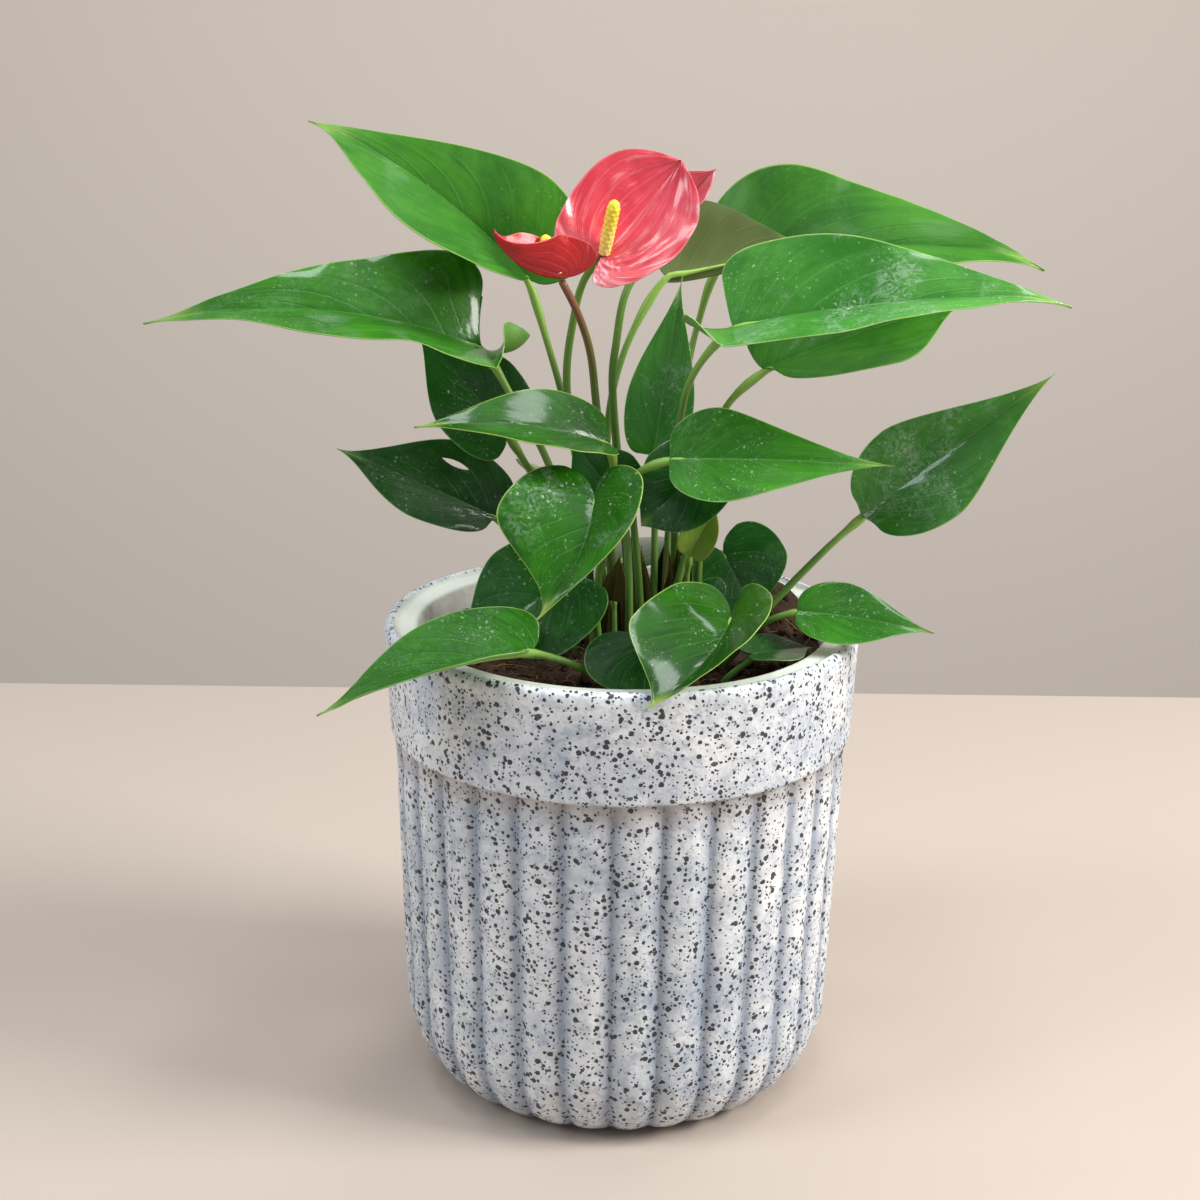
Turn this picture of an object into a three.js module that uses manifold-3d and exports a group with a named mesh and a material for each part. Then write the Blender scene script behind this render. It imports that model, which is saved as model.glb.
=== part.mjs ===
// A potted flamingo flower: a fluted cover pot filled with soil, two dozen glossy heart-shaped
// leaves on their stalks, and three red spathes with yellow spadices.
// Millimetres, +Z up. The origin is the middle of the pot's base, and the front faces -Y.
import * as THREE from 'three';
import { mergeVertices } from 'three/addons/utils/BufferGeometryUtils.js';
import Module from 'manifold-3d';

const wasm = await Module();
wasm.setup();

// Driving dimensions of the pot
const POT_HEIGHT = 152;
const RIM_RADIUS = 75;
const RIM_RIDGE_RADIUS = 73.2;
const COLLAR_HEIGHT = 35;
const COLLAR_FOOT_RADIUS = 73.6;
const BODY_TOP_RADIUS = 72.5;
const BODY_FOOT_RADIUS = 69.6;
const BASE_RADIUS = 50;
const BASE_FILLET_HEIGHT = 28;
const RIB_COUNT = 30;
const RIB_DEPTH = 2;
const RIB_TURN = -2;
const LEDGE_RADIUS = 70.9;
const LEDGE_Z = 150.5;
const MOUTH_RADIUS = 64.5;
const FLOOR_RADIUS = 57;
const FLOOR_Z = 8;

// Driving dimensions of the soil
const SOIL_Z = 141;
const CLEARANCE = 0.3;
const HEAP_HEIGHT = 16;
const HEAP_SPREAD = 17;
const HEAP_X = 47;
const HEAP_Y = 26;
const STEM_DEPTH = 4;

// Driving dimensions of the foliage
const BLADE_THICKNESS = 0.8;
const BLADE_ROWS = 8;
const BLADE_COLUMNS = 3;
const RIB_STEPS = 48;
const STALK_SIDES = 5;
const STALK_STEPS = 8;
const STEM_STEPS = 14;
const STALK_FOOT_RADIUS = 1.5;
const STALK_TOP_RADIUS = 1.05;
const KNEE_RADIUS = 1.6;
const KNEE_PLACE = 0.88;
const STALK_INSET = 0.9;
const STEM_FOOT_RADIUS = 1.5;
const STEM_TOP_RADIUS = 1.1;
const WIDEST_AT = 0.4;
const VEIN_SWEEP = 1.8;

const COLOURS = {
  pot: { color: 0xcfd0d0, roughness: 0.45, metalness: 0 },
  soil: { color: 0x2c1b12, roughness: 1, metalness: 0 },
  leaf: { color: 0x2f7a1c, roughness: 0.35, metalness: 0 },
  spathe: { color: 0xd23040, roughness: 0.3, metalness: 0 },
  spadix: { color: 0xf2d23c, roughness: 0.6, metalness: 0 },
  stem: { color: 0x5f8a22, roughness: 0.5, metalness: 0 },
};

const radians = THREE.MathUtils.degToRad;
const clamp = THREE.MathUtils.clamp;
const lerp = THREE.MathUtils.lerp;

// Closed meshes, and cutting and joining them

function geometryOf(positions, indices) {
  const geometry = new THREE.BufferGeometry();
  geometry.setAttribute('position', new THREE.Float32BufferAttribute(positions, 3));
  geometry.setIndex(indices);
  return geometry;
}

function solidOf(geometry) {
  const bare = geometry.clone();
  bare.deleteAttribute('normal');
  bare.deleteAttribute('uv');
  const merged = mergeVertices(bare, 1e-4);
  return new wasm.Manifold(new wasm.Mesh({
    numProp: 3,
    vertProperties: new Float32Array(merged.attributes.position.array),
    triVerts: new Uint32Array(merged.index.array),
  }));
}

function geometryFrom(solid) {
  const mesh = solid.getMesh();
  return geometryOf(Array.from(mesh.vertProperties), Array.from(mesh.triVerts));
}

function largestOf(solid) {
  return solid.decompose().reduce((best, piece) => (piece.volume() > best.volume() ? piece : best));
}

function named(name, geometry, colour) {
  const mesh = new THREE.Mesh(geometry, new THREE.MeshStandardMaterial(COLOURS[colour]));
  mesh.name = name;
  return mesh;
}

// The pot: rings from the middle of the base, up the outside, over the rim and down to the floor

function ringOf(radiusAt, z, segments) {
  const ring = [];
  for (let i = 0; i < segments; i += 1) {
    const angle = (2 * Math.PI * i) / segments;
    const radius = radiusAt(angle);
    ring.push(new THREE.Vector3(radius * Math.sin(angle), -radius * Math.cos(angle), z));
  }
  return ring;
}

function closedStack(rings, startZ, endZ) {
  const segments = rings[0].length;
  const positions = [0, 0, startZ];
  rings.forEach((ring) => ring.forEach((point) => positions.push(point.x, point.y, point.z)));
  positions.push(0, 0, endZ);
  const last = positions.length / 3 - 1;
  const at = (row, i) => 1 + row * segments + (i % segments);
  const indices = [];
  for (let i = 0; i < segments; i += 1) {
    indices.push(0, at(0, i + 1), at(0, i));
    for (let row = 0; row + 1 < rings.length; row += 1) {
      indices.push(at(row, i), at(row, i + 1), at(row + 1, i + 1));
      indices.push(at(row, i), at(row + 1, i + 1), at(row + 1, i));
    }
    indices.push(last, at(rings.length - 1, i), at(rings.length - 1, i + 1));
  }
  return geometryOf(positions, indices);
}

function potGeometry() {
  const perRib = 3;
  const segments = RIB_COUNT * perRib;
  const round = (radius) => () => radius;
  const ribbed = (radius) => (angle) => {
    const step = Math.round((angle / (2 * Math.PI)) * segments);
    return step % perRib === 0 ? radius - RIB_DEPTH : radius;
  };
  const rings = [];
  const filletSteps = 4;
  for (let i = 0; i <= filletSteps; i += 1) {
    const turn = (Math.PI / 2) * (i / filletSteps);
    const radius = BASE_RADIUS + (BODY_FOOT_RADIUS - BASE_RADIUS) * Math.sin(turn);
    const z = BASE_FILLET_HEIGHT * (1 - Math.cos(turn));
    rings.push(ringOf(ribbed(radius), z, segments));
  }
  const collarFoot = POT_HEIGHT - COLLAR_HEIGHT;
  const profile = [
    [ribbed(BODY_TOP_RADIUS), collarFoot - 0.2],
    [round(BODY_TOP_RADIUS), collarFoot + 0.4],
    [round(COLLAR_FOOT_RADIUS), collarFoot + 3.5],
    [round(RIM_RADIUS), POT_HEIGHT - 4],
    [round(RIM_RADIUS - 0.4), POT_HEIGHT - 1.5],
    [round(RIM_RIDGE_RADIUS), POT_HEIGHT],
    [round(LEDGE_RADIUS), LEDGE_Z + 0.2],
    [round(MOUTH_RADIUS + 0.4), LEDGE_Z],
    [round(MOUTH_RADIUS), LEDGE_Z - 0.7],
    [round(FLOOR_RADIUS), FLOOR_Z],
  ];
  profile.forEach(([radiusAt, z]) => rings.push(ringOf(radiusAt, z, segments)));
  const geometry = closedStack(rings, 0, FLOOR_Z);
  geometry.rotateZ(radians(RIB_TURN));
  return geometry;
}

// The soil: a plug that fills the pot, lumpy on top, heaped towards the back right

function soilHeight(x, y) {
  const lumps = 0.7 * Math.sin(0.31 * x + 1.3) * Math.cos(0.27 * y) + 0.4 * Math.sin(0.55 * (x + y));
  const away = ((x - HEAP_X) ** 2 + (y - HEAP_Y) ** 2) / HEAP_SPREAD ** 2;
  const edge = clamp((MOUTH_RADIUS - Math.hypot(x, y)) / 8, 0, 1);
  return SOIL_Z + lumps * edge + HEAP_HEIGHT * Math.exp(-away);
}

function soilGeometry() {
  const segments = 36;
  const wallRadius = (z) => lerp(FLOOR_RADIUS, MOUTH_RADIUS, (z - FLOOR_Z) / (LEDGE_Z - FLOOR_Z));
  const facet = Math.cos(Math.PI / segments);
  const rings = [];
  const footZ = FLOOR_Z + CLEARANCE;
  rings.push(ringOf(() => (wallRadius(footZ) - CLEARANCE) * facet, footZ, segments));
  const topRadii = [63.2, 55, 45, 33, 20, 8];
  topRadii.forEach((radius) => {
    const ring = ringOf(() => radius, 0, segments);
    ring.forEach((point) => { point.z = soilHeight(point.x, point.y); });
    rings.push(ring);
  });
  return closedStack(rings, footZ, soilHeight(0, 0));
}

// A blade is drawn flat, with the stalk's end at (0, 0) and the tip at (0, length), as two halves.
// Each half's cross-lines run from the midrib to its margin. It is then folded along the midrib,
// curled across, arched along, and set between its stalk's end and its tip.
// A value that differs between the halves is a pair: [left, right], seen from the stalk.

const BLADE = {
  half: 16,
  side: 1,
  widest: 0.3,
  lobe: 4,
  lobeX: 0.45,
  taper: 0.3,
  neck: 0.06,
  drip: 0.3,
  arch: 20,
  hook: 0,
  lift: 0,
  bow: 0,
  fold: 10,
  tipFold: null,
  rearFold: null,
  curl: 0,
  wave: 0,
  waves: 2,
  phase: 0,
  thickness: BLADE_THICKNESS,
};

const pick = (value, half) => (Array.isArray(value) ? value[half] : value);

function bezier(t, a, b, c, d) {
  const s = 1 - t;
  return s * s * s * a + 3 * s * s * t * b + 3 * s * t * t * c + t * t * t * d;
}

function midrib(blade) {
  const along = [0];
  const above = [0];
  const slopes = [];
  for (let i = 0; i <= RIB_STEPS; i += 1) {
    const s = i / RIB_STEPS;
    slopes.push(radians(blade.arch) * (0.5 - s) - radians(blade.hook) * Math.max(0, (s - 0.7) / 0.3) ** 2);
    if (i > 0) {
      along.push(along[i - 1] + (Math.cos(slopes[i]) + Math.cos(slopes[i - 1])) / (2 * RIB_STEPS));
      above.push(above[i - 1] + (Math.sin(slopes[i]) + Math.sin(slopes[i - 1])) / (2 * RIB_STEPS));
    }
  }
  const turn = Math.atan2(above[RIB_STEPS], along[RIB_STEPS]);
  const chord = new THREE.Vector3().subVectors(blade.tip, blade.base);
  const length = chord.length() / Math.hypot(along[RIB_STEPS], above[RIB_STEPS]);
  const forward = chord.normalize();
  const up = blade.face.clone().addScaledVector(forward, -blade.face.dot(forward)).normalize();
  const right = new THREE.Vector3().crossVectors(forward, up);
  const read = (list, s) => {
    const place = clamp(s, 0, 1) * RIB_STEPS;
    const low = Math.min(Math.floor(place), RIB_STEPS - 1);
    return lerp(list[low], list[low + 1], place - low);
  };
  const at = (s) => {
    const a = read(along, s);
    const b = read(above, s);
    return {
      along: length * (a * Math.cos(turn) + b * Math.sin(turn)),
      above: length * (b * Math.cos(turn) - a * Math.sin(turn)),
      slope: read(slopes, s) - turn,
    };
  };
  return { length, forward, up, right, at };
}

function marginPoint(blade, rib, m, half) {
  const width = blade.half * pick(blade.side, half);
  const lobe = pick(blade.lobe, half);
  const crest = pick(blade.lobeX, half) * width;
  const widest = pick(blade.widest, half) * rib.length;
  const rest = rib.length - widest;
  if (m < WIDEST_AT) {
    const t = m / WIDEST_AT;
    return [
      bezier(t, crest, crest + 0.35 * width, width, width),
      bezier(t, -lobe, -lobe, widest - 0.55 * (lobe + widest), widest),
    ];
  }
  const t = (m - WIDEST_AT) / (1 - WIDEST_AT);
  return [
    bezier(t, width, width, pick(blade.neck, half) * width, 0),
    bezier(t, widest, widest + pick(blade.taper, half) * rest, rib.length - blade.drip * rest, rib.length),
  ];
}

function flatPoint(blade, rib, m, w, half) {
  const width = blade.half * pick(blade.side, half);
  const [marginX, marginY] = marginPoint(blade, rib, m, half);
  const startY = rib.length * m ** VEIN_SWEEP;
  const pull = (1 - m) ** 4;
  const middleX = marginX / 2 - pull * 0.4 * pick(blade.lobeX, half) * width;
  const middleY = (startY + marginY) / 2 - pull * 0.25 * pick(blade.lobe, half);
  return [
    2 * w * (1 - w) * middleX + w * w * marginX,
    (1 - w) ** 2 * startY + 2 * w * (1 - w) * middleY + w * w * marginY,
  ];
}

function bentPoint(blade, rib, x, y, half) {
  const { length, forward, up, right } = rib;
  const g = clamp(y / length, 0, 1);
  const back = Math.max(0, -y);
  const lobe = Math.max(pick(blade.lobe, half), 1e-3);
  const backShare = Math.min(back / lobe, 1);
  const here = rib.at(g);
  const start = rib.at(0);

  // The lobes behind the stalk's end rise on an arc.
  const rise = radians(pick(blade.lift, half)) / lobe;
  const swung = back * rise;
  const backRun = Math.abs(rise) < 1e-6 ? back : Math.sin(swung) / rise;
  const backUp = Math.abs(rise) < 1e-6 ? 0 : (1 - Math.cos(swung)) / rise;
  const slope = here.slope - swung;

  // The midrib sways to the side, and the cross-lines turn with it.
  const sideways = 4 * blade.bow * g * (1 - g);
  const turn = Math.atan(((4 * blade.bow) / length) * (1 - 2 * g));
  const startTurn = Math.atan((4 * blade.bow) / length);

  // Across the half, the blade leaves the midrib at the fold's angle and curls on from there.
  const fold = pick(blade.fold, half);
  const tipFold = blade.tipFold === null ? 0.6 * fold : pick(blade.tipFold, half);
  const rearFold = blade.rearFold === null ? fold : pick(blade.rearFold, half);
  const angle = radians(lerp(fold, tipFold, g) + (rearFold - fold) * backShare);
  const curl = radians(pick(blade.curl, half)) || 1e-4;
  const width = blade.half * pick(blade.side, half);
  const u = Math.abs(x) / width;
  const outward = (width * (Math.sin(angle + curl * u) - Math.sin(angle))) / curl;
  const ripple = Math.sin(2 * Math.PI * blade.waves * clamp(y / length, -0.3, 1) + blade.phase + half * 1.7);
  const lifted = (width * (Math.cos(angle) - Math.cos(angle + curl * u))) / curl
    + blade.wave * ripple * u * u * Math.min(1.15 - g, 1);
  const reach = half === 1 ? outward : -outward;

  const tangent = forward.clone().multiplyScalar(Math.cos(slope)).addScaledVector(up, Math.sin(slope));
  const normal = up.clone().multiplyScalar(Math.cos(slope)).addScaledVector(forward, -Math.sin(slope));
  const startTangent = forward.clone().multiplyScalar(Math.cos(start.slope))
    .addScaledVector(up, Math.sin(start.slope));
  const startNormal = up.clone().multiplyScalar(Math.cos(start.slope))
    .addScaledVector(forward, -Math.sin(start.slope));
  return blade.base.clone()
    .addScaledVector(forward, here.along)
    .addScaledVector(up, here.above)
    .addScaledVector(right, sideways)
    .addScaledVector(right, reach * Math.cos(turn))
    .addScaledVector(tangent, -reach * Math.sin(turn))
    .addScaledVector(normal, lifted)
    .addScaledVector(startTangent, -backRun * Math.cos(startTurn))
    .addScaledVector(right, -backRun * Math.sin(startTurn))
    .addScaledVector(startNormal, backUp);
}

function bladeGeometry(blade, rib) {
  const points = [];
  const indexOf = new Map();
  const vertex = (half, i, j) => {
    const key = j === 0 || i === BLADE_ROWS ? `rib ${i}` : `${half} ${i} ${j}`;
    if (!indexOf.has(key)) {
      const [x, y] = flatPoint(blade, rib, i / BLADE_ROWS, j / BLADE_COLUMNS, half);
      indexOf.set(key, points.length);
      points.push(bentPoint(blade, rib, x, y, half));
    }
    return indexOf.get(key);
  };
  const faces = [];
  for (let half = 0; half < 2; half += 1) {
    for (let i = 0; i < BLADE_ROWS; i += 1) {
      for (let j = 0; j < BLADE_COLUMNS; j += 1) {
        const near = [vertex(half, i, j), vertex(half, i, j + 1)];
        const far = [vertex(half, i + 1, j), vertex(half, i + 1, j + 1)];
        const cell = [[near[0], near[1], far[1]], [near[0], far[1], far[0]]];
        cell.filter((face) => new Set(face).size === 3)
          .forEach((face) => faces.push(half === 1 ? face : [face[0], face[2], face[1]]));
      }
    }
  }

  const normals = points.map(() => new THREE.Vector3());
  const edgeA = new THREE.Vector3();
  const edgeB = new THREE.Vector3();
  faces.forEach(([a, b, c]) => {
    edgeA.subVectors(points[b], points[a]);
    edgeB.subVectors(points[c], points[a]);
    edgeA.cross(edgeB);
    [a, b, c].forEach((corner) => normals[corner].add(edgeA));
  });

  // Both skins carry the same triangles, and a wall runs round the margin between them.
  const count = points.length;
  const positions = [];
  [0.5, -0.5].forEach((share) => points.forEach((point, i) => {
    const lifted = point.clone().addScaledVector(normals[i].normalize(), share * blade.thickness);
    positions.push(lifted.x, lifted.y, lifted.z);
  }));
  const indices = [];
  faces.forEach(([a, b, c]) => indices.push(a, b, c, count + a, count + c, count + b));
  const border = [];
  for (let j = BLADE_COLUMNS; j > 0; j -= 1) border.push(vertex(0, 0, j));
  for (let j = 0; j <= BLADE_COLUMNS; j += 1) border.push(vertex(1, 0, j));
  for (let i = 1; i <= BLADE_ROWS; i += 1) border.push(vertex(1, i, BLADE_COLUMNS));
  for (let i = BLADE_ROWS - 1; i > 0; i -= 1) border.push(vertex(0, i, BLADE_COLUMNS));
  border.forEach((a, i) => {
    const b = border[(i + 1) % border.length];
    indices.push(a, count + a, count + b, a, count + b, b);
  });
  return geometryOf(positions, indices);
}

// A stalk or stem: rings of one radius rule along a curve, capped at both ends

function stalkGeometry(curve, steps, radiusAt) {
  const frames = curve.computeFrenetFrames(steps, false);
  const positions = [];
  const centres = curve.getSpacedPoints(steps);
  centres.forEach((centre, row) => {
    for (let i = 0; i < STALK_SIDES; i += 1) {
      const angle = (2 * Math.PI * i) / STALK_SIDES;
      const radius = radiusAt(row / steps);
      const point = centre.clone()
        .addScaledVector(frames.normals[row], radius * Math.cos(angle))
        .addScaledVector(frames.binormals[row], radius * Math.sin(angle));
      positions.push(point.x, point.y, point.z);
    }
  });
  const first = positions.length / 3;
  positions.push(centres[0].x, centres[0].y, centres[0].z);
  positions.push(centres[steps].x, centres[steps].y, centres[steps].z);
  const at = (row, i) => row * STALK_SIDES + (i % STALK_SIDES);
  const indices = [];
  for (let i = 0; i < STALK_SIDES; i += 1) {
    indices.push(first, at(0, i + 1), at(0, i));
    for (let row = 0; row < steps; row += 1) {
      indices.push(at(row, i), at(row, i + 1), at(row + 1, i + 1));
      indices.push(at(row, i), at(row + 1, i + 1), at(row + 1, i));
    }
    indices.push(first + 1, at(steps, i), at(steps, i + 1));
  }
  return geometryOf(positions, indices);
}

function stalkRadius(s) {
  const knee = Math.exp(-(((s - KNEE_PLACE) / 0.05) ** 2));
  return lerp(STALK_FOOT_RADIUS, STALK_TOP_RADIUS, s) + (KNEE_RADIUS - STALK_TOP_RADIUS) * knee;
}

function stalkCurve(blade, rib, stalk) {
  const foot = footPoint(stalk.foot, stalk.leave);
  const start = rib.at(0);
  const arrive = stalk.arrive
    ? new THREE.Vector3(...stalk.arrive).normalize()
    : new THREE.Vector3().addScaledVector(rib.forward, Math.cos(start.slope + Math.PI / 4))
      .addScaledVector(rib.up, Math.sin(start.slope + Math.PI / 4));
  const leave = new THREE.Vector3(...(stalk.leave ?? [0, 0, 1])).normalize();
  const main = new THREE.CubicBezierCurve3(
    foot,
    foot.clone().addScaledVector(leave, stalk.rise ?? 40),
    blade.base.clone().addScaledVector(arrive, -(stalk.reach ?? 25)),
    blade.base,
  );
  const points = main.getSpacedPoints(6).slice(0, 6);
  points.push(blade.base.clone().addScaledVector(rib.up, -STALK_INSET));
  points.push(bentPoint(blade, rib, 0, 0.1 * rib.length, 1).addScaledVector(rib.up, -0.7 * STALK_INSET));
  return new THREE.CatmullRomCurve3(points, false, 'centripetal');
}

function bladeOf(spec) {
  return {
    ...BLADE,
    ...spec,
    base: new THREE.Vector3(...spec.base),
    tip: new THREE.Vector3(...spec.tip),
    face: new THREE.Vector3(...spec.face),
  };
}

// The leaves, from the top of the plant down: base is where the stalk meets the blade, tip is the
// blade's point, face is the way the upper side looks, and foot is where the stalk leaves the soil.
const LEAVES = [
  {
    name: 'leaf_upper_left', base: [-30, 10, 257], tip: [-95, 0, 304], face: [0.1, -0.7, 0.7], half: 26.5,
    side: [0.94, 1], widest: [0.4, 0.17], lobe: [-4, 10], lobeX: [0.25, 0.45], taper: [0.35, 0.2],
    arch: 38, hook: 20, fold: [46, 30], tipFold: [-5, 15],
    stalk: { foot: [-9, 10], leave: [-0.05, 0, 1], rise: 60, arrive: [-0.3, 0, 0.9], reach: 40 },
  },
  {
    name: 'leaf_long_left', base: [-43, -12, 239], tip: [-140, -30, 248], face: [0, -0.6, 0.8],
    half: 23.5, side: [0.92, 1], widest: [0.3, 0.14], lobe: [17, -4], lobeX: [0.1, 0.6],
    taper: [0.25, 0.28], arch: 50, lift: [85, 0], fold: [30, 28], rearFold: [115, 28], wave: 3, phase: -2,
    stalk: { foot: [-14, -5], rise: 60, arrive: [-0.5, 0, 0.8], reach: 35 },
  },
  {
    name: 'leaf_shaded_left', base: [-37, -2, 212], tip: [-65, 6, 243], face: [0.1, -0.95, 0.3], half: 15,
    lobe: 5, taper: 0.35, arch: 15,
    stalk: { foot: [-14, 2] },
  },
  {
    name: 'leaf_glossy_left', base: [-5, -28, 214], tip: [-61, -42, 221], face: [0, -0.55, 0.83],
    half: 13, widest: 0.32, lobe: [1, -1], arch: 35, fold: [25, 22],
    stalk: { foot: [-9, -13], rise: 50 },
  },
  {
    name: 'leaf_heart_front', base: [-9, -42, 201], tip: [-25, -62, 170], face: [-0.35, -0.85, 0.4],
    half: 24, side: [0.72, 1.12], widest: [0.05, 0.3], lobe: [9, 9], lobeX: [0.28, 0.35],
    taper: [0.36, 0.65], neck: 0.03, drip: 0.4, bow: -4.3, fold: [26, 22],
    stalk: { foot: [2, -23] },
  },
  {
    name: 'leaf_slit_left', base: [-39, 2, 183], tip: [-88, -8, 207], face: [-0.1, -0.8, 0.6], half: 15,
    side: [0.8, 1.15], widest: [0.5, 0.35], lobe: [-3, 2], lobeX: [0.3, 0.45], taper: [0.4, 0.3],
    arch: 10,
    stalk: { foot: [-19, 8], reach: 15 },
    slit: { middle: [-52.5, -4, 200.5], length: 9.6, width: 1.8, turn: -27 },
  },
  {
    name: 'leaf_shaded_middle', base: [-1, -9, 191], tip: [-17, -7, 211], face: [0, -0.9, 0.4], half: 12,
    widest: 0.35, lobe: 5,
    stalk: { foot: [3, -3], rise: 20, reach: 15 },
  },
  {
    name: 'leaf_upright', base: [9, -3, 205], tip: [17, 6, 259], face: [-0.15, -0.9, 0.4], half: 11,
    side: [1, 0.95], widest: 0.27, lobe: 0, taper: 0.35, arch: 10, fold: 12,
    stalk: { foot: [10, 1], reach: 20 },
  },
  {
    name: 'leaf_pointed_right', base: [13, -30, 210], tip: [79, -32, 209], face: [0, -0.75, 0.65],
    widest: 0.22, lobe: 0, lobeX: 0.3, taper: 0.15, drip: 0.35, arch: 10,
    stalk: { foot: [6, -12], rise: 60, arrive: [0.9, -0.2, 0.2], reach: 20 },
  },
  {
    name: 'leaf_shaded_right', base: [24, -18, 205], tip: [5, -28, 189], face: [-0.2, -0.9, 0.35],
    half: 14, widest: [0.35, 0.35], lobe: 5, taper: [0.75, 0.3], neck: 0.3, drip: 0.2, arch: 15,
    stalk: { foot: [14, -9] },
  },
  {
    name: 'leaf_large_right', base: [31, -22, 248], tip: [128, -30, 256], face: [0, -0.6, 0.8], half: 24,
    side: [1, 0.85], widest: [0.2, 0.25], lobe: [1, 24], lobeX: [0.6, 0.5], taper: [0.35, 0.2], hook: 25,
    lift: [0, 80], fold: [28, 30], rearFold: [28, 48],
    stalk: { foot: [17, 2], rise: 60, arrive: [0.85, 0, 0.5] },
  },
  {
    name: 'leaf_back_right', base: [30, 40, 258], tip: [129, 14, 261], face: [0, -0.6, 0.8], half: 28,
    side: [1, 0.8], widest: [0.25, 0.55], lobe: [3, 2], taper: [0.22, 0.35], arch: 30, hook: 30,
    fold: [28, 30], wave: 4, waves: 1.43, phase: 0.2,
    stalk: { foot: [14, 12], rise: 70, reach: 30 },
  },
  {
    name: 'leaf_olive_behind', base: [13, 18, 257], tip: [58, 17, 268], face: [-0.2, 0.9, -0.3], half: 22,
    side: [0.12, 1], lobe: [1, 3],
    stalk: { foot: [-3, 13], rise: 60, arrive: [0.6, 0.2, 0.75], reach: 45 },
  },
  {
    name: 'leaf_under_right', base: [43, 5, 231], tip: [103, 2, 253], face: [0, -0.6, 0.8], half: 19.5,
    widest: [0.35, 0.6], lobe: [3, -4], lobeX: [0.45, 0.2], taper: [0.35, 0.45], arch: 10, fold: 15,
    stalk: { foot: [24, 5], rise: 60, arrive: [0.9, 0, 0.4], reach: 20 },
  },
  {
    name: 'leaf_outer_right', base: [73, -8, 187], tip: [127, -20, 235], face: [0, -0.85, 0.5], half: 18,
    side: [0.95, 1], widest: [0.3, 0.36], lobe: [-2.5, -3.5], lobeX: 0.3, taper: 0.2, arch: 10, fold: 12,
    stalk: { foot: [29, -13], leave: [0.75, 0.1, 0.6], rise: 20, arrive: [0.75, 0.1, 0.6], reach: 20 },
  },
  {
    name: 'leaf_low_right', base: [53, -25, 162], tip: [94, -30, 157], face: [0.1, -0.7, 0.7], half: 11,
    lobe: 0, lobeX: 0.3, taper: 0.35,
    stalk: { foot: [32, -17], leave: [0.6, 0, 0.8], rise: 16, arrive: [1, 0, 0.1], reach: 12 },
  },
  {
    name: 'leaf_heart_right', base: [31, -50, 167], tip: [6, -79, 149], face: [-0.45, -0.75, 0.5],
    half: 25, side: [0.56, 0.99], widest: [0.05, 0.5], lobe: [17.5, 11.5], lobeX: [0.08, 0.3],
    taper: [0.32, 0.75], neck: 0.03, drip: 0.4, arch: 25, bow: -5, fold: [30, 25],
    stalk: { foot: [19, -30], rise: 25, reach: 12 },
  },
  {
    name: 'leaf_low_left', base: [-27, -54, 158], tip: [-88, -66, 141.4], face: [-0.1, -0.5, 0.86],
    lobe: [-3, 4], taper: [0.35, 0.42], arch: 28, fold: [47, 25], tipFold: [45, 15],
    stalk: { foot: [3, -43], leave: [-0.8, 0, 0.4], rise: 8, arrive: [-0.95, 0, 0.1], reach: 12 },
  },
  {
    name: 'leaf_round_left', base: [-17, -36, 174], tip: [-50, -44, 153], face: [0, -0.8, 0.6], half: 19,
    lobe: 8, taper: 0.4, arch: 15, fold: 5,
    stalk: { foot: [-7, -24], rise: 25, reach: 12 },
  },
  {
    name: 'leaf_low_front', base: [6, -46, 159], tip: [10, -57, 144.5], face: [0, -0.6, 0.8], half: 19,
    taper: 0.6, neck: 0.3, drip: 0.15, arch: 10, fold: 5,
    stalk: { foot: [10, -38], rise: 10, reach: 6 },
  },
  {
    name: 'leaf_soil_right', base: [40, -34, 151.2], tip: [58, -24, 150], face: [0.1, -0.3, 0.95],
    half: 10.3, side: [0.85, 1], lobe: 4.5, taper: 0.5, arch: 10, fold: [2, 22],
    stalk: { foot: [29, -35], rise: 6, reach: 5 },
  },
  {
    name: 'leaf_round_back', base: [33, 17, 168], tip: [44, 10, 148], face: [0, -0.85, 0.5], half: 18.5,
    lobe: 7, taper: 0.5, arch: 15, fold: 5,
    stalk: { foot: [22, 20], rise: 15, reach: 8 },
  },
  {
    name: 'leaf_behind_heart', base: [30, -22, 163], tip: [19, -26, 151], face: [0, -0.8, 0.6], half: 10,
    lobe: 6, arch: 10, fold: 5,
    stalk: { foot: [26, -5], rise: 12, reach: 8 },
  },
  {
    name: 'leaf_rear_left', base: [-12, 32, 186], tip: [-30, 82, 172], face: [0, 0.5, 0.86], half: 20,
    lobe: 6, arch: 40, fold: 12,
    stalk: { foot: [-10, 18], rise: 30, reach: 15 },
  },
  {
    name: 'leaf_rear_right', base: [24, 34, 190], tip: [38, 84, 176], face: [0, 0.5, 0.86], half: 19,
    lobe: 6, arch: 40, fold: 12,
    stalk: { foot: [7, 19], rise: 30, reach: 15 },
  },
  {
    name: 'leaf_rear_low', base: [0, 34, 160], tip: [4, 84, 154], face: [0, 0.4, 0.9], half: 17, lobe: 6,
    arch: 30,
    stalk: { foot: [0, 24], rise: 12, reach: 8 },
  },
  {
    name: 'leaf_young', base: [20.5, -14, 176.5], tip: [28.5, -14, 193], face: [-0.1, -0.95, 0.2],
    half: 6, lobe: 0.5, taper: 0.6, arch: 10, fold: 25,
    stalk: { foot: [20, -13], rise: 15, reach: 8 },
  },
  {
    name: 'sheath', base: [-3, -16, 162], tip: [-1, -20, 178], face: [-0.2, -0.9, -0.3], half: 4, lobe: 0,
    arch: 10, fold: 15,
    stalk: { foot: [-2, -17], rise: 8, reach: 4 },
  },
];

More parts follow.
